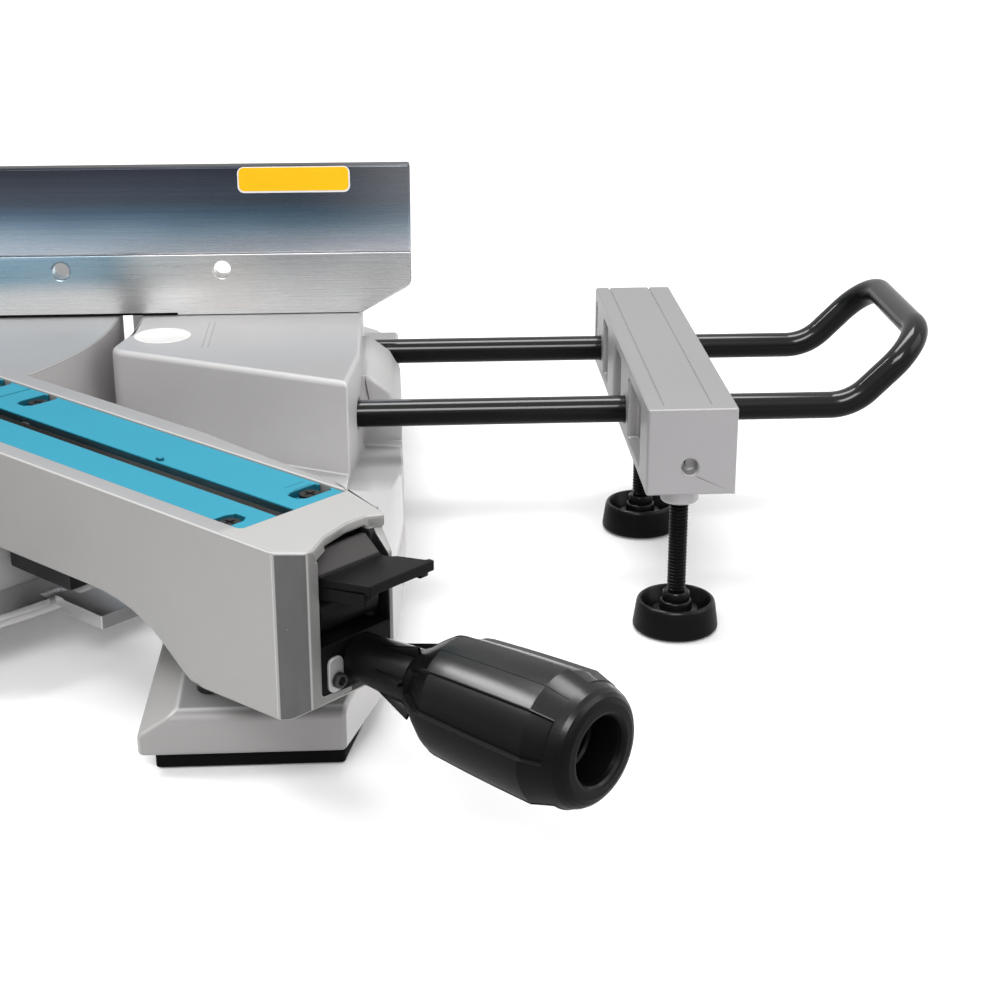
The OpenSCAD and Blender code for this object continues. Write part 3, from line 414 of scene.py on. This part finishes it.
def use_modifier(piece, kind, **values):
    pick(piece)
    added = piece.modifiers.new(kind.lower(), kind)
    for key, value in values.items():
        setattr(added, key, value)
    bpy.ops.object.modifier_apply(modifier=added.name)


def seat(piece, body, finish, slot, *nodes):
    """Gives a finished piece its finish, hangs it on its body and hides the nodes that it stands for."""
    piece.data.materials.clear()
    piece.data.materials.append(finish)
    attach(piece, body)
    if nodes:
        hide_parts(*nodes)
    return piece


# Nodes with broad flat faces, which are merged before their edges are rounded
BROAD = {"base_casting", "fixed_fence_right", "fixed_fence_left", "sliding_fence_right", "sliding_fence_left",
         "board_front_right", "board_front_left", "board_rear_right", "board_rear_left"}
# How much wider than the usual rounding the widest one of a node is
EASE = {"base_casting": 1.5, "fixed_fence_right": 3.0, "fixed_fence_left": 3.0}
# Edges with a rounding of their own, in metres: the axis they run along, their place on X and on the third axis,
# and the width
ROUND_CORNERS = ((2, 0.2849, -0.1138, 0.003), (1, 0.3143, 0.1154, 0.003))
# Height above which, and place on Y in front of which, an eased node's edges get its widest rounding: the wings' tops
WING_TOP, WING_FRONT = 0.1015, -0.012
# Place at the thin right corner of the arm's end, and the reach round it, where the edges stay sharp
LEFT_SHARP, SHARP_REACH = ARM @ Vector((0.029, -0.392, 0.100)), 0.012
# Shares of the room beside an edge that a wide and a usual rounding may take, and the finest rounding worth making
WIDE_SHARE, USUAL_SHARE, FINEST = 0.46, 0.42, 0.00008
# Angle between faces from which an edge is rounded, and the one up to which a rounded piece is shaded smooth
SHARP_ABOVE, SMOOTH_BELOW = radians(32), radians(38)
# Distance within which a node's points are merged, and how flat neighbours must be to become one face or one quad
MERGE_WITHIN, FLAT_FACE, FLAT_QUAD, QUAD_SKEW = 0.000004, radians(0.3), radians(0.5), radians(60)


def wanted_width(middle, along, width, ease):
    """Rounding that an edge should have: the widest of its node, one of its own, or the usual one."""
    if middle.z > WING_TOP and middle.y < WING_FRONT and ease > 1.0:
        return width
    for axis, x, other, wide in ROUND_CORNERS:
        offset = Vector((abs(middle.x), middle[3 - axis])) - Vector((x, other))
        if abs(along[axis]) > 0.99 and offset.length < 0.002:
            return wide
    return width / ease


def room_beside(edge, along):
    """Shortest edge that leaves this one sideways."""
    room = 1.0
    for face in edge.link_faces:
        for near in face.edges:
            if near is edge or not set(near.verts) & set(edge.verts):
                continue
            way = near.verts[1].co - near.verts[0].co
            if abs(way.normalized().dot(along)) < 0.8:
                room = min(room, way.length)
    return room


def weigh_edges(piece, width, ease):
    """Marks the sharp edges for rounding, each by the room that its neighbours leave."""
    shape = bmesh.new()
    shape.from_mesh(piece.data)
    layer = shape.edges.layers.float.new("bevel_weight_edge")
    for edge in shape.edges:
        middle = (edge.verts[0].co + edge.verts[1].co) / 2
        sharp = len(edge.link_faces) == 2 and edge.calc_face_angle(0.0) >= SHARP_ABOVE
        if not sharp or (middle - LEFT_SHARP).length < SHARP_REACH:
            continue
        along = (edge.verts[1].co - edge.verts[0].co).normalized()
        wanted = wanted_width(middle, along, width, ease)
        share = WIDE_SHARE if wanted > width / ease else USUAL_SHARE
        weight = min(wanted, share * room_beside(edge, along)) / width
        edge[layer] = weight if weight * width > FINEST else 0.0
    shape.to_mesh(piece.data)
    shape.free()


# Cuts on each wing, in metres and degrees: the rounding circle of the inner front corner, the block that takes the
# corner off, and the block that slants the outer end; blocks are given by place, turn, width and length
CORNER_CIRCLE, CORNER_RADIUS, CIRCLE_MIDDLE, CIRCLE_HEIGHT = (0.18707, -0.05139), 0.009, 0.08, 0.2
CORNER_BLOCK = (0.17600, -0.05605, -66.59, 0.014, 0.010)
END_BLOCK = (0.29726, -0.09631, -7.55, 0.020, 0.060)
BLOCK_MIDDLE, BLOCK_HEIGHT = 0.0835, 0.053
# Zone at that corner, on X, on Y and upward from a height, where points closer than a distance are merged after
# the cuts
ZONE_X, ZONE_Y, ZONE_FLOOR, ZONE_MERGE = (0.17, 0.19), (-0.064, -0.045), 0.0565, 0.0005


def cutting_block(side, x, y, turn, width, length):
    begin()
    bpy.ops.mesh.primitive_cube_add(size=1.0, location=(side * x, y, BLOCK_MIDDLE),
                                    rotation=(0, 0, side * radians(turn)))
    block = bpy.context.object
    block.scale = (width, length, BLOCK_HEIGHT)
    bpy.ops.object.transform_apply(location=True, rotation=True, scale=True)
    return block


def at_wing_corner(point):
    beside = ZONE_X[0] < abs(point.x) < ZONE_X[1] and ZONE_Y[0] < point.y < ZONE_Y[1]
    return beside and point.z > ZONE_FLOOR


def trim_wings(piece):
    """Rounds the inner front corner of each wing and slants its outer end."""
    for side in (1, -1):
        begin()
        bpy.ops.mesh.primitive_cylinder_add(vertices=48, radius=CORNER_RADIUS, depth=CIRCLE_HEIGHT,
                                            location=(side * CORNER_CIRCLE[0], CORNER_CIRCLE[1], CIRCLE_MIDDLE))
        round_tool = bpy.context.object
        corner_tool = cutting_block(side, *CORNER_BLOCK)
        use_modifier(corner_tool, "BOOLEAN", operation="DIFFERENCE", object=round_tool)
        end_tool = cutting_block(side, *END_BLOCK)
        for tool in (corner_tool, end_tool):
            use_modifier(piece, "BOOLEAN", operation="DIFFERENCE", object=tool)
        for tool in (round_tool, corner_tool, end_tool):
            bpy.data.objects.remove(tool)
    mark(piece, "vertices", lambda corner: at_wing_corner(corner.co))
    bpy.ops.mesh.remove_doubles(threshold=ZONE_MERGE)
    bpy.ops.object.mode_set(mode="OBJECT")


def softened(node, width, steps):
    """A copy of a node's surface, merged, with its sharp edges rounded."""
    piece = bpy.data.objects.new(node + "_skin", frame["nodes"][node].data.copy())
    bpy.context.scene.collection.objects.link(piece)
    pick(piece)
    bpy.ops.mesh.customdata_custom_splitnormals_clear()
    bpy.ops.object.mode_set(mode="EDIT")
    bpy.ops.mesh.select_all(action="SELECT")
    bpy.ops.mesh.remove_doubles(threshold=MERGE_WITHIN)
    if node in BROAD:
        bpy.ops.mesh.dissolve_limited(angle_limit=FLAT_FACE)
    else:
        bpy.ops.mesh.tris_convert_to_quads(face_threshold=FLAT_QUAD, shape_threshold=QUAD_SKEW)
    bpy.ops.object.mode_set(mode="OBJECT")
    if node == "base_casting":
        trim_wings(piece)
    ease = EASE.get(node, 1.0)
    weigh_edges(piece, width * ease * MM, ease)
    use_modifier(piece, "BEVEL", limit_method="WEIGHT", width=width * ease * MM, segments=steps,
                 use_clamp_overlap=False, miter_outer="MITER_ARC", loop_slide=True)
    pick(piece)
    bpy.ops.object.shade_smooth_by_angle(angle=SMOOTH_BELOW)
    use_modifier(piece, "WEIGHTED_NORMAL", mode="FACE_AREA", weight=100, keep_sharp=True)
    return piece


# Node, rounding in millimetres, rounding steps, finish
SKINS = [
    ("base_casting", 2.0, 3, cast_grey), ("turntable", 1.3, 3, cast_table), ("foot_pads", 1.2, 2, pad_rubber),
    ("detent_plate", 0.5, 2, bright_steel), ("detent_screws", 0.4, 2, dark_steel),
    ("mitre_scale", 0.2, 1, bright_steel), ("pivot_bolt", 0.8, 2, bright_steel),
    ("fixed_fence_right", 1.0, 3, fence_low), ("fixed_fence_left", 1.0, 3, fence_low),
    ("fence_bolts", 0.6, 2, dark_steel), ("sliding_fence_right", 1.2, 3, fence_high),
    ("sliding_fence_left", 1.2, 3, fence_high), ("fence_clamp_right", 1.2, 3, black_moulded),
    ("fence_clamp_left", 1.2, 3, black_moulded), ("right_ubar", 1.0, 3, black_paint),
    ("left_ubar", 1.0, 3, black_paint), ("right_support", 1.2, 3, cast_support),
    ("left_support", 1.2, 3, cast_support), ("board_front_right", 0.5, 2, board_blue),
    ("board_front_left", 0.5, 2, board_blue), ("board_rear_right", 0.5, 2, board_blue),
    ("board_rear_left", 0.5, 2, board_blue), ("board_screws", 0.3, 2, dark_steel),
    ("lever_pin", 0.5, 2, bright_steel), ("bevel_pin", 0.8, 2, bright_steel),
    ("grip_bracket", 0.8, 2, dark_moulded), ("lock_plunger", 0.8, 2, dark_steel),
    ("lock_lever", 0.7, 3, lever_moulded), ("detent_pawl", 0.8, 2, bright_steel), ("bevel_arm", 3.0, 3, cast_head),
    ("rail_bushes", 0.4, 2, bush_bronze), ("bevel_scale", 0.3, 2, bright_steel),
    ("bevel_lock_lever", 2.0, 3, black_moulded), ("rail_lock_knob", 1.4, 3, black_moulded),
    ("carriage", 2.5, 3, cast_head), ("slide_rails", 0.6, 2, chromed), ("rail_end_cap", 2.5, 3, black_moulded),
    ("hinge_pin", 0.8, 2, bright_steel), ("stop_pin", 1.0, 3, black_moulded), ("head_casting", 2.5, 3, cast_head),
    ("arbor_cover", 0.8, 2, cast_head), ("motor_housing", 1.6, 3, housing_blue),
    ("handle_left", 3.5, 4, black_moulded), ("handle_right", 3.5, 4, black_moulded),
    ("carry_handle", 4.0, 4, black_moulded), ("dust_spout", 1.0, 3, black_moulded),
    ("cord_gland", 1.0, 3, black_moulded), ("saw_blade", 0.2, 1, blade_steel),
    ("blade_flanges", 0.8, 2, dark_steel), ("arbor_bolt", 0.6, 2, dark_steel), ("spindle", 0.5, 2, bright_steel),
    ("armature", 0.6, 2, dark_steel), ("lower_guard", 0.8, 2, guard_smoke), ("trigger", 1.6, 3, red_moulded),
    ("lock_off_button", 0.8, 3, red_moulded),
]
for node, width, steps, finish in SKINS:
    seat(softened(node, width, steps), BODY[node], finish, SLOT[node], node)


# Details modelled on the bodies, each made round the origin and then set in its place
TO_FRONT = Matrix.Rotation(radians(90), 4, "X")
TO_RIGHT = Matrix.Rotation(radians(90), 4, "Y")
TO_LEFT = Matrix.Rotation(radians(-90), 4, "Y")


def at(x, y, z, turn=None):
    move = Matrix.Translation((x * MM, y * MM, z * MM))
    return move @ turn if turn else move


def settle(piece, place):
    """Writes a place into the mesh of a form made at the origin."""
    piece.matrix_world = place
    pick(piece)
    bpy.ops.object.transform_apply(location=True, rotation=True, scale=True)
    return piece


def twin(piece, name, place):
    """A copy with its own mesh, set in another place."""
    made = bpy.data.objects.new(name, piece.data.copy())
    bpy.context.scene.collection.objects.link(made)
    return settle(made, place)


def joined(name, pieces):
    begin()
    for piece in pieces:
        piece.select_set(True)
    bpy.context.view_layer.objects.active = pieces[0]
    bpy.ops.object.join()
    pieces[0].name = name
    return pieces[0]


def scattered(name, first, places):
    """One form repeated at many places and joined into one piece; the first one is used up."""
    made = joined(name, [twin(first, name, place) for place in places])
    bpy.data.objects.remove(first)
    return made


def smoothed(piece, angle=40):
    pick(piece)
    bpy.ops.object.shade_smooth_by_angle(angle=radians(angle))
    return piece


def turned_form(name, rings, sides):
    """A closed turned form on Z: a disc drawn out ring by ring, each a radius and a height in millimetres."""
    begin()
    bpy.ops.mesh.primitive_circle_add(vertices=sides, radius=rings[0][0] * MM, fill_type="NGON",
                                      location=(0, 0, rings[0][1] * MM))
    piece = bpy.context.object
    piece.name = name
    bpy.ops.object.transform_apply(location=True)
    bpy.ops.object.mode_set(mode="EDIT")
    bpy.ops.mesh.select_all(action="SELECT")
    for (r0, z0), (r1, z1) in zip(rings, rings[1:]):
        bpy.ops.mesh.extrude_region_move(TRANSFORM_OT_translate={"value": (0, 0, (z1 - z0) * MM)})
        bpy.ops.transform.resize(value=(r1 / r0, r1 / r0, 1), center_override=(0, 0, 0))
    bpy.ops.mesh.select_all(action="SELECT")
    bpy.ops.mesh.normals_make_consistent(inside=False)
    bpy.ops.object.mode_set(mode="OBJECT")
    return smoothed(piece)


def rounded_plate(name, size, corner, edge):
    """A plate with rounded corners and a chamfered face, its back at Z 0, sizes in millimetres."""
    begin()
    bpy.ops.mesh.primitive_cube_add(size=1.0, location=(0, 0, (size[2] - edge) / 2 * MM))
    piece = bpy.context.object
    piece.name = name
    piece.scale = (size[0] * MM, size[1] * MM, (size[2] - edge) * MM)
    bpy.ops.object.transform_apply(location=True, rotation=True, scale=True)
    height = [vertex.co.z for vertex in piece.data.vertices]
    mark(piece, "edges", lambda line: abs(height[line.vertices[0]] - height[line.vertices[1]]) > 1e-6)
    bpy.ops.mesh.bevel(offset=corner * MM, segments=5, affect="EDGES")
    mark(piece, "polygons", lambda face: face.normal.z > 0.9)
    bpy.ops.mesh.inset(thickness=edge * MM, depth=edge * MM)
    bpy.ops.object.mode_set(mode="OBJECT")
    return smoothed(piece)


def cap_screw(radius, height):
    """Round screw head with a blind socket."""
    return turned_form("cap_screw", [(radius, -1.0), (radius, height - 0.4), (radius - 0.4, height),
                                     (0.58 * radius, height), (0.52 * radius, 0.35 * height)], 24)


def ring_of(centre, angles, place):
    """One place for each angle, turned round an axis of the head that runs along X through a centre."""
    return [HEAD @ at(*centre, Matrix.Rotation(radians(angle), 4, "X")) @ place for angle in angles]


# Levelling feet: hollow cup with a stepped hub, and a stud with rings for its thread, as radius and height
CUP = [(16.6, 0.3), (17.6, 0.5), (18.2, 1.3), (18.2, 2.2), (16.9, 11.6), (16.5, 12.7), (15.9, 13.2), (15.2, 13.2),
       (14.6, 12.6), (13.7, 5.4), (13.0, 4.6), (10.6, 4.5), (10.2, 5.0), (9.9, 8.2), (9.3, 8.9), (7.2, 9.1),
       (6.9, 9.6), (6.9, 12.2), (6.4, 12.8), (5.9, 12.9), (5.8, 16.2), (5.2, 16.9), (3.3, 17.0)]
THREAD_RING = ((3.97, 0.45), (3.97, 0.75), (3.3, 1.2))
STUD_FOOT, STUD_END, PITCH, TURNS = 17.4, (3.2, 83.5), 1.5, 43
thread = [(radius, STUD_FOOT + PITCH * turn + rise) for turn in range(TURNS) for radius, rise in THREAD_RING]
first_foot = turned_form("first_foot", CUP + thread + [STUD_END], 40)
LEVEL_X, LEVEL_Y = {"right": 423.2, "left": -423.2}, {"front": -146.5, "rear": -28.0}
for side, x in LEVEL_X.items():
    for end, y in LEVEL_Y.items():
        node = "%s_%s_foot" % (side, end)
        seat(twin(first_foot, node + "_cup", at(x, y, 0)), BODY[node], black_moulded, SLOT[node], node)
bpy.data.objects.remove(first_foot)

# Mitre grip: turned body with sunk panels between its lands, a parting line, and six fins at the neck; angles in
# degrees round the grip, lengths in millimetres along it
PANELS, PANEL_HALF, PANEL_SPAN, PANEL_REACH = (-157.5, -67.5, 22.5, 112.5), 21, (444.4, 511.4), 12.6
PANEL_EDGE, PANEL_LIP, PANEL_SINK = 0.4, 0.3, 1.8
PARTING, PARTING_HALF, PARTING_SPAN, PARTING_REACH = -22.5, 1.1, (458, 511), 19.5
PARTING_EDGE, PARTING_RISE = 0.15, 0.12
# Place and size of a fin, and how far its outer lower edge is moved in to slant it, in metres
FIN_PLACE, FIN_SIZE, FIN_SLANT = (0, 0.011, 0.4335), (0.0014, 0.0072, 0.019), (0, -0.006, 0)
GRIP = ARM @ at(0, 0, 57.4, TO_FRONT)
GRIP_RINGS = [
    (5.9, 256.1), (5.9, 411.4), (8.2, 411.5), (8.7, 412.1), (8.9, 420.0), (9.6, 431.0), (10.4, 441.6), (11.3, 441.8),
    (11.7, 442.3), (12.5, 444.0), (13.6, 445.8), (17.0, 450.6), (20.2, 455.8), (20.9, 457.4), (21.4, 460.0),
    (21.8, 466.0), (22.3, 474.0), (22.7, 482.0), (22.95, 488.0), (23.15, 494.0), (23.4, 502.2), (23.4, 503.0),
    (23.0, 504.2), (22.0, 507.6), (20.9, 511.6), (20.6, 512.6), (19.9, 514.6), (18.9, 516.1), (17.6, 517.2),
    (15.8, 517.9), (13.2, 518.0), (12.3, 517.7), (11.6, 516.9), (11.2, 515.4), (10.9, 505.0), (10.2, 504.2)]


def on_grip(point, middles, half, span, reach):
    """Whether a point lies near one of the angles, within a span along the grip and beyond a radius."""
    angle = degrees(atan2(point.x, point.y))
    near = any(abs((angle - middle + 180) % 360 - 180) < half for middle in middles)
    return near and span[0] < point.z / MM < span[1] and point.xy.length / MM > reach


grip = turned_form("mitre_grip_body", GRIP_RINGS, 180)
mark(grip, "polygons", lambda face: on_grip(face.center, PANELS, PANEL_HALF, PANEL_SPAN, PANEL_REACH))
bpy.ops.mesh.inset(thickness=PANEL_EDGE * MM, depth=PANEL_LIP * MM)
bpy.ops.mesh.inset(thickness=PANEL_EDGE * MM, depth=-PANEL_SINK * MM)
mark(grip, "polygons", lambda face: on_grip(face.center, (PARTING,), PARTING_HALF, PARTING_SPAN, PARTING_REACH))
bpy.ops.mesh.inset(thickness=PARTING_EDGE * MM, depth=PARTING_RISE * MM)
begin()
bpy.ops.mesh.primitive_cube_add(size=1.0, location=FIN_PLACE)
fin = bpy.context.object
fin.scale = FIN_SIZE
bpy.ops.object.transform_apply(location=True, rotation=True, scale=True)
mark(fin, "vertices", lambda corner: corner.co.z < 0.43 and corner.co.y > 0.011)
bpy.ops.transform.translate(value=FIN_SLANT)
bpy.ops.object.mode_set(mode="OBJECT")
use_modifier(fin, "BEVEL", limit_method="NONE", width=0.3 * MM, segments=2)
fins = [twin(smoothed(fin), "grip_fin", Matrix.Rotation(radians(-angle), 4, "Z")) for angle in range(-15, 345, 60)]
bpy.data.objects.remove(fin)
grip = settle(joined("mitre_grip_body", [smoothed(grip, 11)] + fins), GRIP)
seat(grip, BODY["mitre_grip"], grip_moulded, SLOT["mitre_grip"], "mitre_grip")

# Bare plates: one on the fence, one on each wing
edging = settle(rounded_plate("fence_plate_edging", (52.4, 12.2, 0.3), 3.0, 0.1), at(260, 0.02, 166.6, TO_FRONT))
seat(edging, BODY["sliding_fence_right"], plate_white, "fence_metal")
plate = settle(rounded_plate("fence_plate", (51.0, 11.0, 0.45), 2.4, 0.1), at(260, 0.02, 166.9, TO_FRONT))
seat(plate, BODY["sliding_fence_right"], plate_yellow, "fence_metal")
wing_disc = turned_form("wing_disc", [(12.6, -0.1), (13.0, 0.1), (13.0, 0.25), (12.7, 0.4), (11.6, 0.4),
                                      (11.4, 0.3)], 48)
wing_discs = scattered("wing_discs", wing_disc, [at(199, -36, 102), at(-199, -36, 102)])
seat(wing_discs, "base", plate_white, "cast_grey")

# Screws that hold the rubber pads
spread = [at(x, y, 27.1) for x in (234, -234) for y in (-250, 250)]
pad_screws = scattered("pad_screws", cap_screw(4.8, 3.6), spread)
seat(pad_screws, "base", dark_steel, "black_steel")

# Clip and screw beside the grip rod, in the mouth of the arm
clip = rounded_plate("rod_clip", (7.0, 13.0, 1.0), 2.6, 0.3)
settle(clip, ARM @ at(-10.8, -409.5, 53.6, TO_FRONT))
seat(clip, "table", cast_support, "steel")
clip_screw = settle(cap_screw(2.9, 2.2), ARM @ at(-10.2, -410.2, 51.4, TO_FRONT))
seat(clip_screw, "table", dark_steel, "black_steel")

# Nib on the inner edge of the front board
nib = settle(rounded_plate("board_nib", (2.2, 3.2, 1.6), 0.8, 0.4), ARM @ at(6.2, -299, 101.1))
seat(nib, "table", board_blue, "blue_plastic")

# Numbers of the mitre scale, with their angles, letter height and depth in metres, and place in millimetres
NUMBERS, NUMBER_SIZE, NUMBER_DEPTH, NUMBER_Y, NUMBER_Z = range(-45, 46, 15), 0.0075, 0.00012, -196.5, 57.3
marks = []
for angle in NUMBERS:
    begin()
    bpy.ops.object.text_add()
    word = bpy.context.object
    word.data.body, word.data.size, word.data.extrude = str(abs(angle)), NUMBER_SIZE, NUMBER_DEPTH
    word.data.align_x, word.data.align_y = "CENTER", "CENTER"
    bpy.ops.object.convert(target="MESH")
    word = bpy.context.object
    marks.append(settle(word, Matrix.Rotation(radians(angle), 4, "Z") @ at(0, NUMBER_Y, NUMBER_Z)))
seat(joined("mitre_numbers", marks), "base", dark_steel, "black_steel")

# Blade tips
tip = rounded_plate("tip", (1.7, 6.0, 2.9), 0.25, 0.2)
spread = ring_of(BLADE_CENTRE, range(0, 360, 6), at(-1.45, 149.3, 0.95, TO_RIGHT))
seat(scattered("blade_tips", tip, spread), "blade", carbide, "steel")

# Motor: vents round the barrel, two bands, brush caps, and the screws of the gear cover
vent = rounded_plate("vent", (24.0, 3.4, 1.0), 1.6, 0.3)
spread = ring_of((172, MOTOR_Y, MOTOR_Z), range(-45, 235, 10), at(0, 0, 53.5))
seat(scattered("motor_vents", vent, spread), "head", dark_moulded, "black_plastic")
BAND_RADIUS, BAND_HEIGHT, BAND_STRETCH = 0.0537, 0.0016, 2.2
bands = []
for x in (52, 150):
    begin()
    bpy.ops.mesh.primitive_torus_add(major_segments=96, minor_segments=10, major_radius=BAND_RADIUS,
                                     minor_radius=BAND_HEIGHT)
    band = bpy.context.object
    bpy.ops.object.mode_set(mode="EDIT")
    bpy.ops.mesh.select_all(action="SELECT")
    bpy.ops.transform.resize(value=(1, 1, BAND_STRETCH), center_override=(0, 0, 0))
    bpy.ops.object.mode_set(mode="OBJECT")
    bands.append(settle(smoothed(band), HEAD @ at(x, MOTOR_Y, MOTOR_Z, TO_RIGHT)))
seat(joined("motor_bands", bands), "head", dark_moulded, "black_plastic")
brush_cap = turned_form("brush_cap", [(10.0, -3.0), (10.0, 1.4), (9.4, 2.2), (7.4, 2.2), (7.2, 1.4), (2.2, 1.4),
                                      (2.0, 2.0)], 32)
spread = ring_of((118, MOTOR_Y, MOTOR_Z), (-10, 190), at(0, 0, 54))
seat(scattered("brush_caps", brush_cap, spread), "head", black_moulded, "black_plastic")
gear_screw = cap_screw(3.6, 2.6)
spread = ring_of((46, -30, 246), (-70, 0, 70), at(0, 0, -37, TO_RIGHT))
spread += ring_of((-26, -30, 246), (-62, 0, 62), at(0, 0, 118, TO_LEFT))
seat(scattered("gear_screws", gear_screw, spread), "head", dark_steel, "black_steel")

# Screws through the two halves of the handle
spread = [HEAD @ at(16, y, z, TO_RIGHT) for y, z in ((-246, 402), (-220, 439), (-190, 371))]
seat(scattered("handle_screws", cap_screw(3.4, 1.2), spread), "head", dark_steel, "black_steel")


# Floor, light and camera
def area_light(name, place, aim, size, power):
    lamp = bpy.data.lights.new(name, "AREA")
    lamp.shape, lamp.size, lamp.size_y, lamp.energy = "RECTANGLE", size[0], size[1], power
    holder = bpy.data.objects.new(name, lamp)
    bpy.context.scene.collection.objects.link(holder)
    holder.location = place
    holder.rotation_euler = (Vector(aim) - Vector(place)).to_track_quat("-Z", "Y").to_euler()


# The floor lies just under the feet, and is lit up further away from the middle of the saw
FLOOR_SIZE, FLOOR_DROP, FLOOR_MIDDLE, FLOOR_FADE = 300.0, -0.0005, (0.2, -0.2, 0.0), (0.5, 3.2)
begin()
bpy.ops.mesh.primitive_plane_add(size=FLOOR_SIZE, location=(0, 0, FLOOR_DROP))
floor = bpy.context.object
floor.name = "floor"
floor_white, shader, place, _ = new_finish("floor_white", Roughness=0.9)
feed(shader, Base_Color=place.grain(0.6, 2.0).tone((0.93, 0.93, 0.93), (0.95, 0.95, 0.95)))
reach = place.node("ShaderNodeVectorMath", {"operation": "DISTANCE"}, {0: place, 1: FLOOR_MIDDLE}, 1)
feed(shader, Emission_Color=reach.step(*FLOOR_FADE).tone((0.08, 0.08, 0.08), (0.55, 0.55, 0.55)))
shader.inputs["Emission Strength"].default_value = 1.0
floor.data.materials.append(floor_white)

# Name, place, aim, size and power of each light
LIGHTS = (("overhead", (0.15, 0.25, 1.8), (0.2, -0.05, 0.1), (1.4, 0.6), 20),
          ("front_box", (0.1, -1.9, 1.7), (0.2, -0.1, 0.1), (1.2, 0.7), 30),
          ("left_box", (-1.1, 0.1, 1.55), (0.3, -0.3, 0.06), (0.7, 0.4), 14),
          ("right_box", (1.9, -0.6, 0.9), (0.3, -0.1, 0.08), (1.2, 1.2), 5))
for light in LIGHTS:
    area_light(*light)

world = bpy.data.worlds.new("studio")
bpy.context.scene.world = world
world.use_nodes = True
background = world.node_tree.nodes["Background"]
background.inputs["Color"].default_value = (1, 1, 1, 1)
background.inputs["Strength"].default_value = 0.6
bpy.context.scene.view_settings.view_transform = "Standard"

# Camera: lens and sensor in millimetres, place in metres, and turn from looking straight down, in degrees
CAMERA_LENS, CAMERA_SENSOR = 68.98, 36.0
CAMERA_PLACE, CAMERA_RISE, CAMERA_TURN = (0.3029, -0.8949, 0.340), 69.49, -3.43
camera = bpy.data.cameras.new("camera")
camera.lens, camera.sensor_width = CAMERA_LENS, CAMERA_SENSOR
camera.clip_start, camera.clip_end = 0.01, 100.0
camera_holder = bpy.data.objects.new("camera", camera)
bpy.context.scene.collection.objects.link(camera_holder)
camera_holder.location = CAMERA_PLACE
camera_holder.rotation_euler = (radians(CAMERA_RISE), 0.0, radians(CAMERA_TURN))
bpy.context.scene.camera = camera_holder
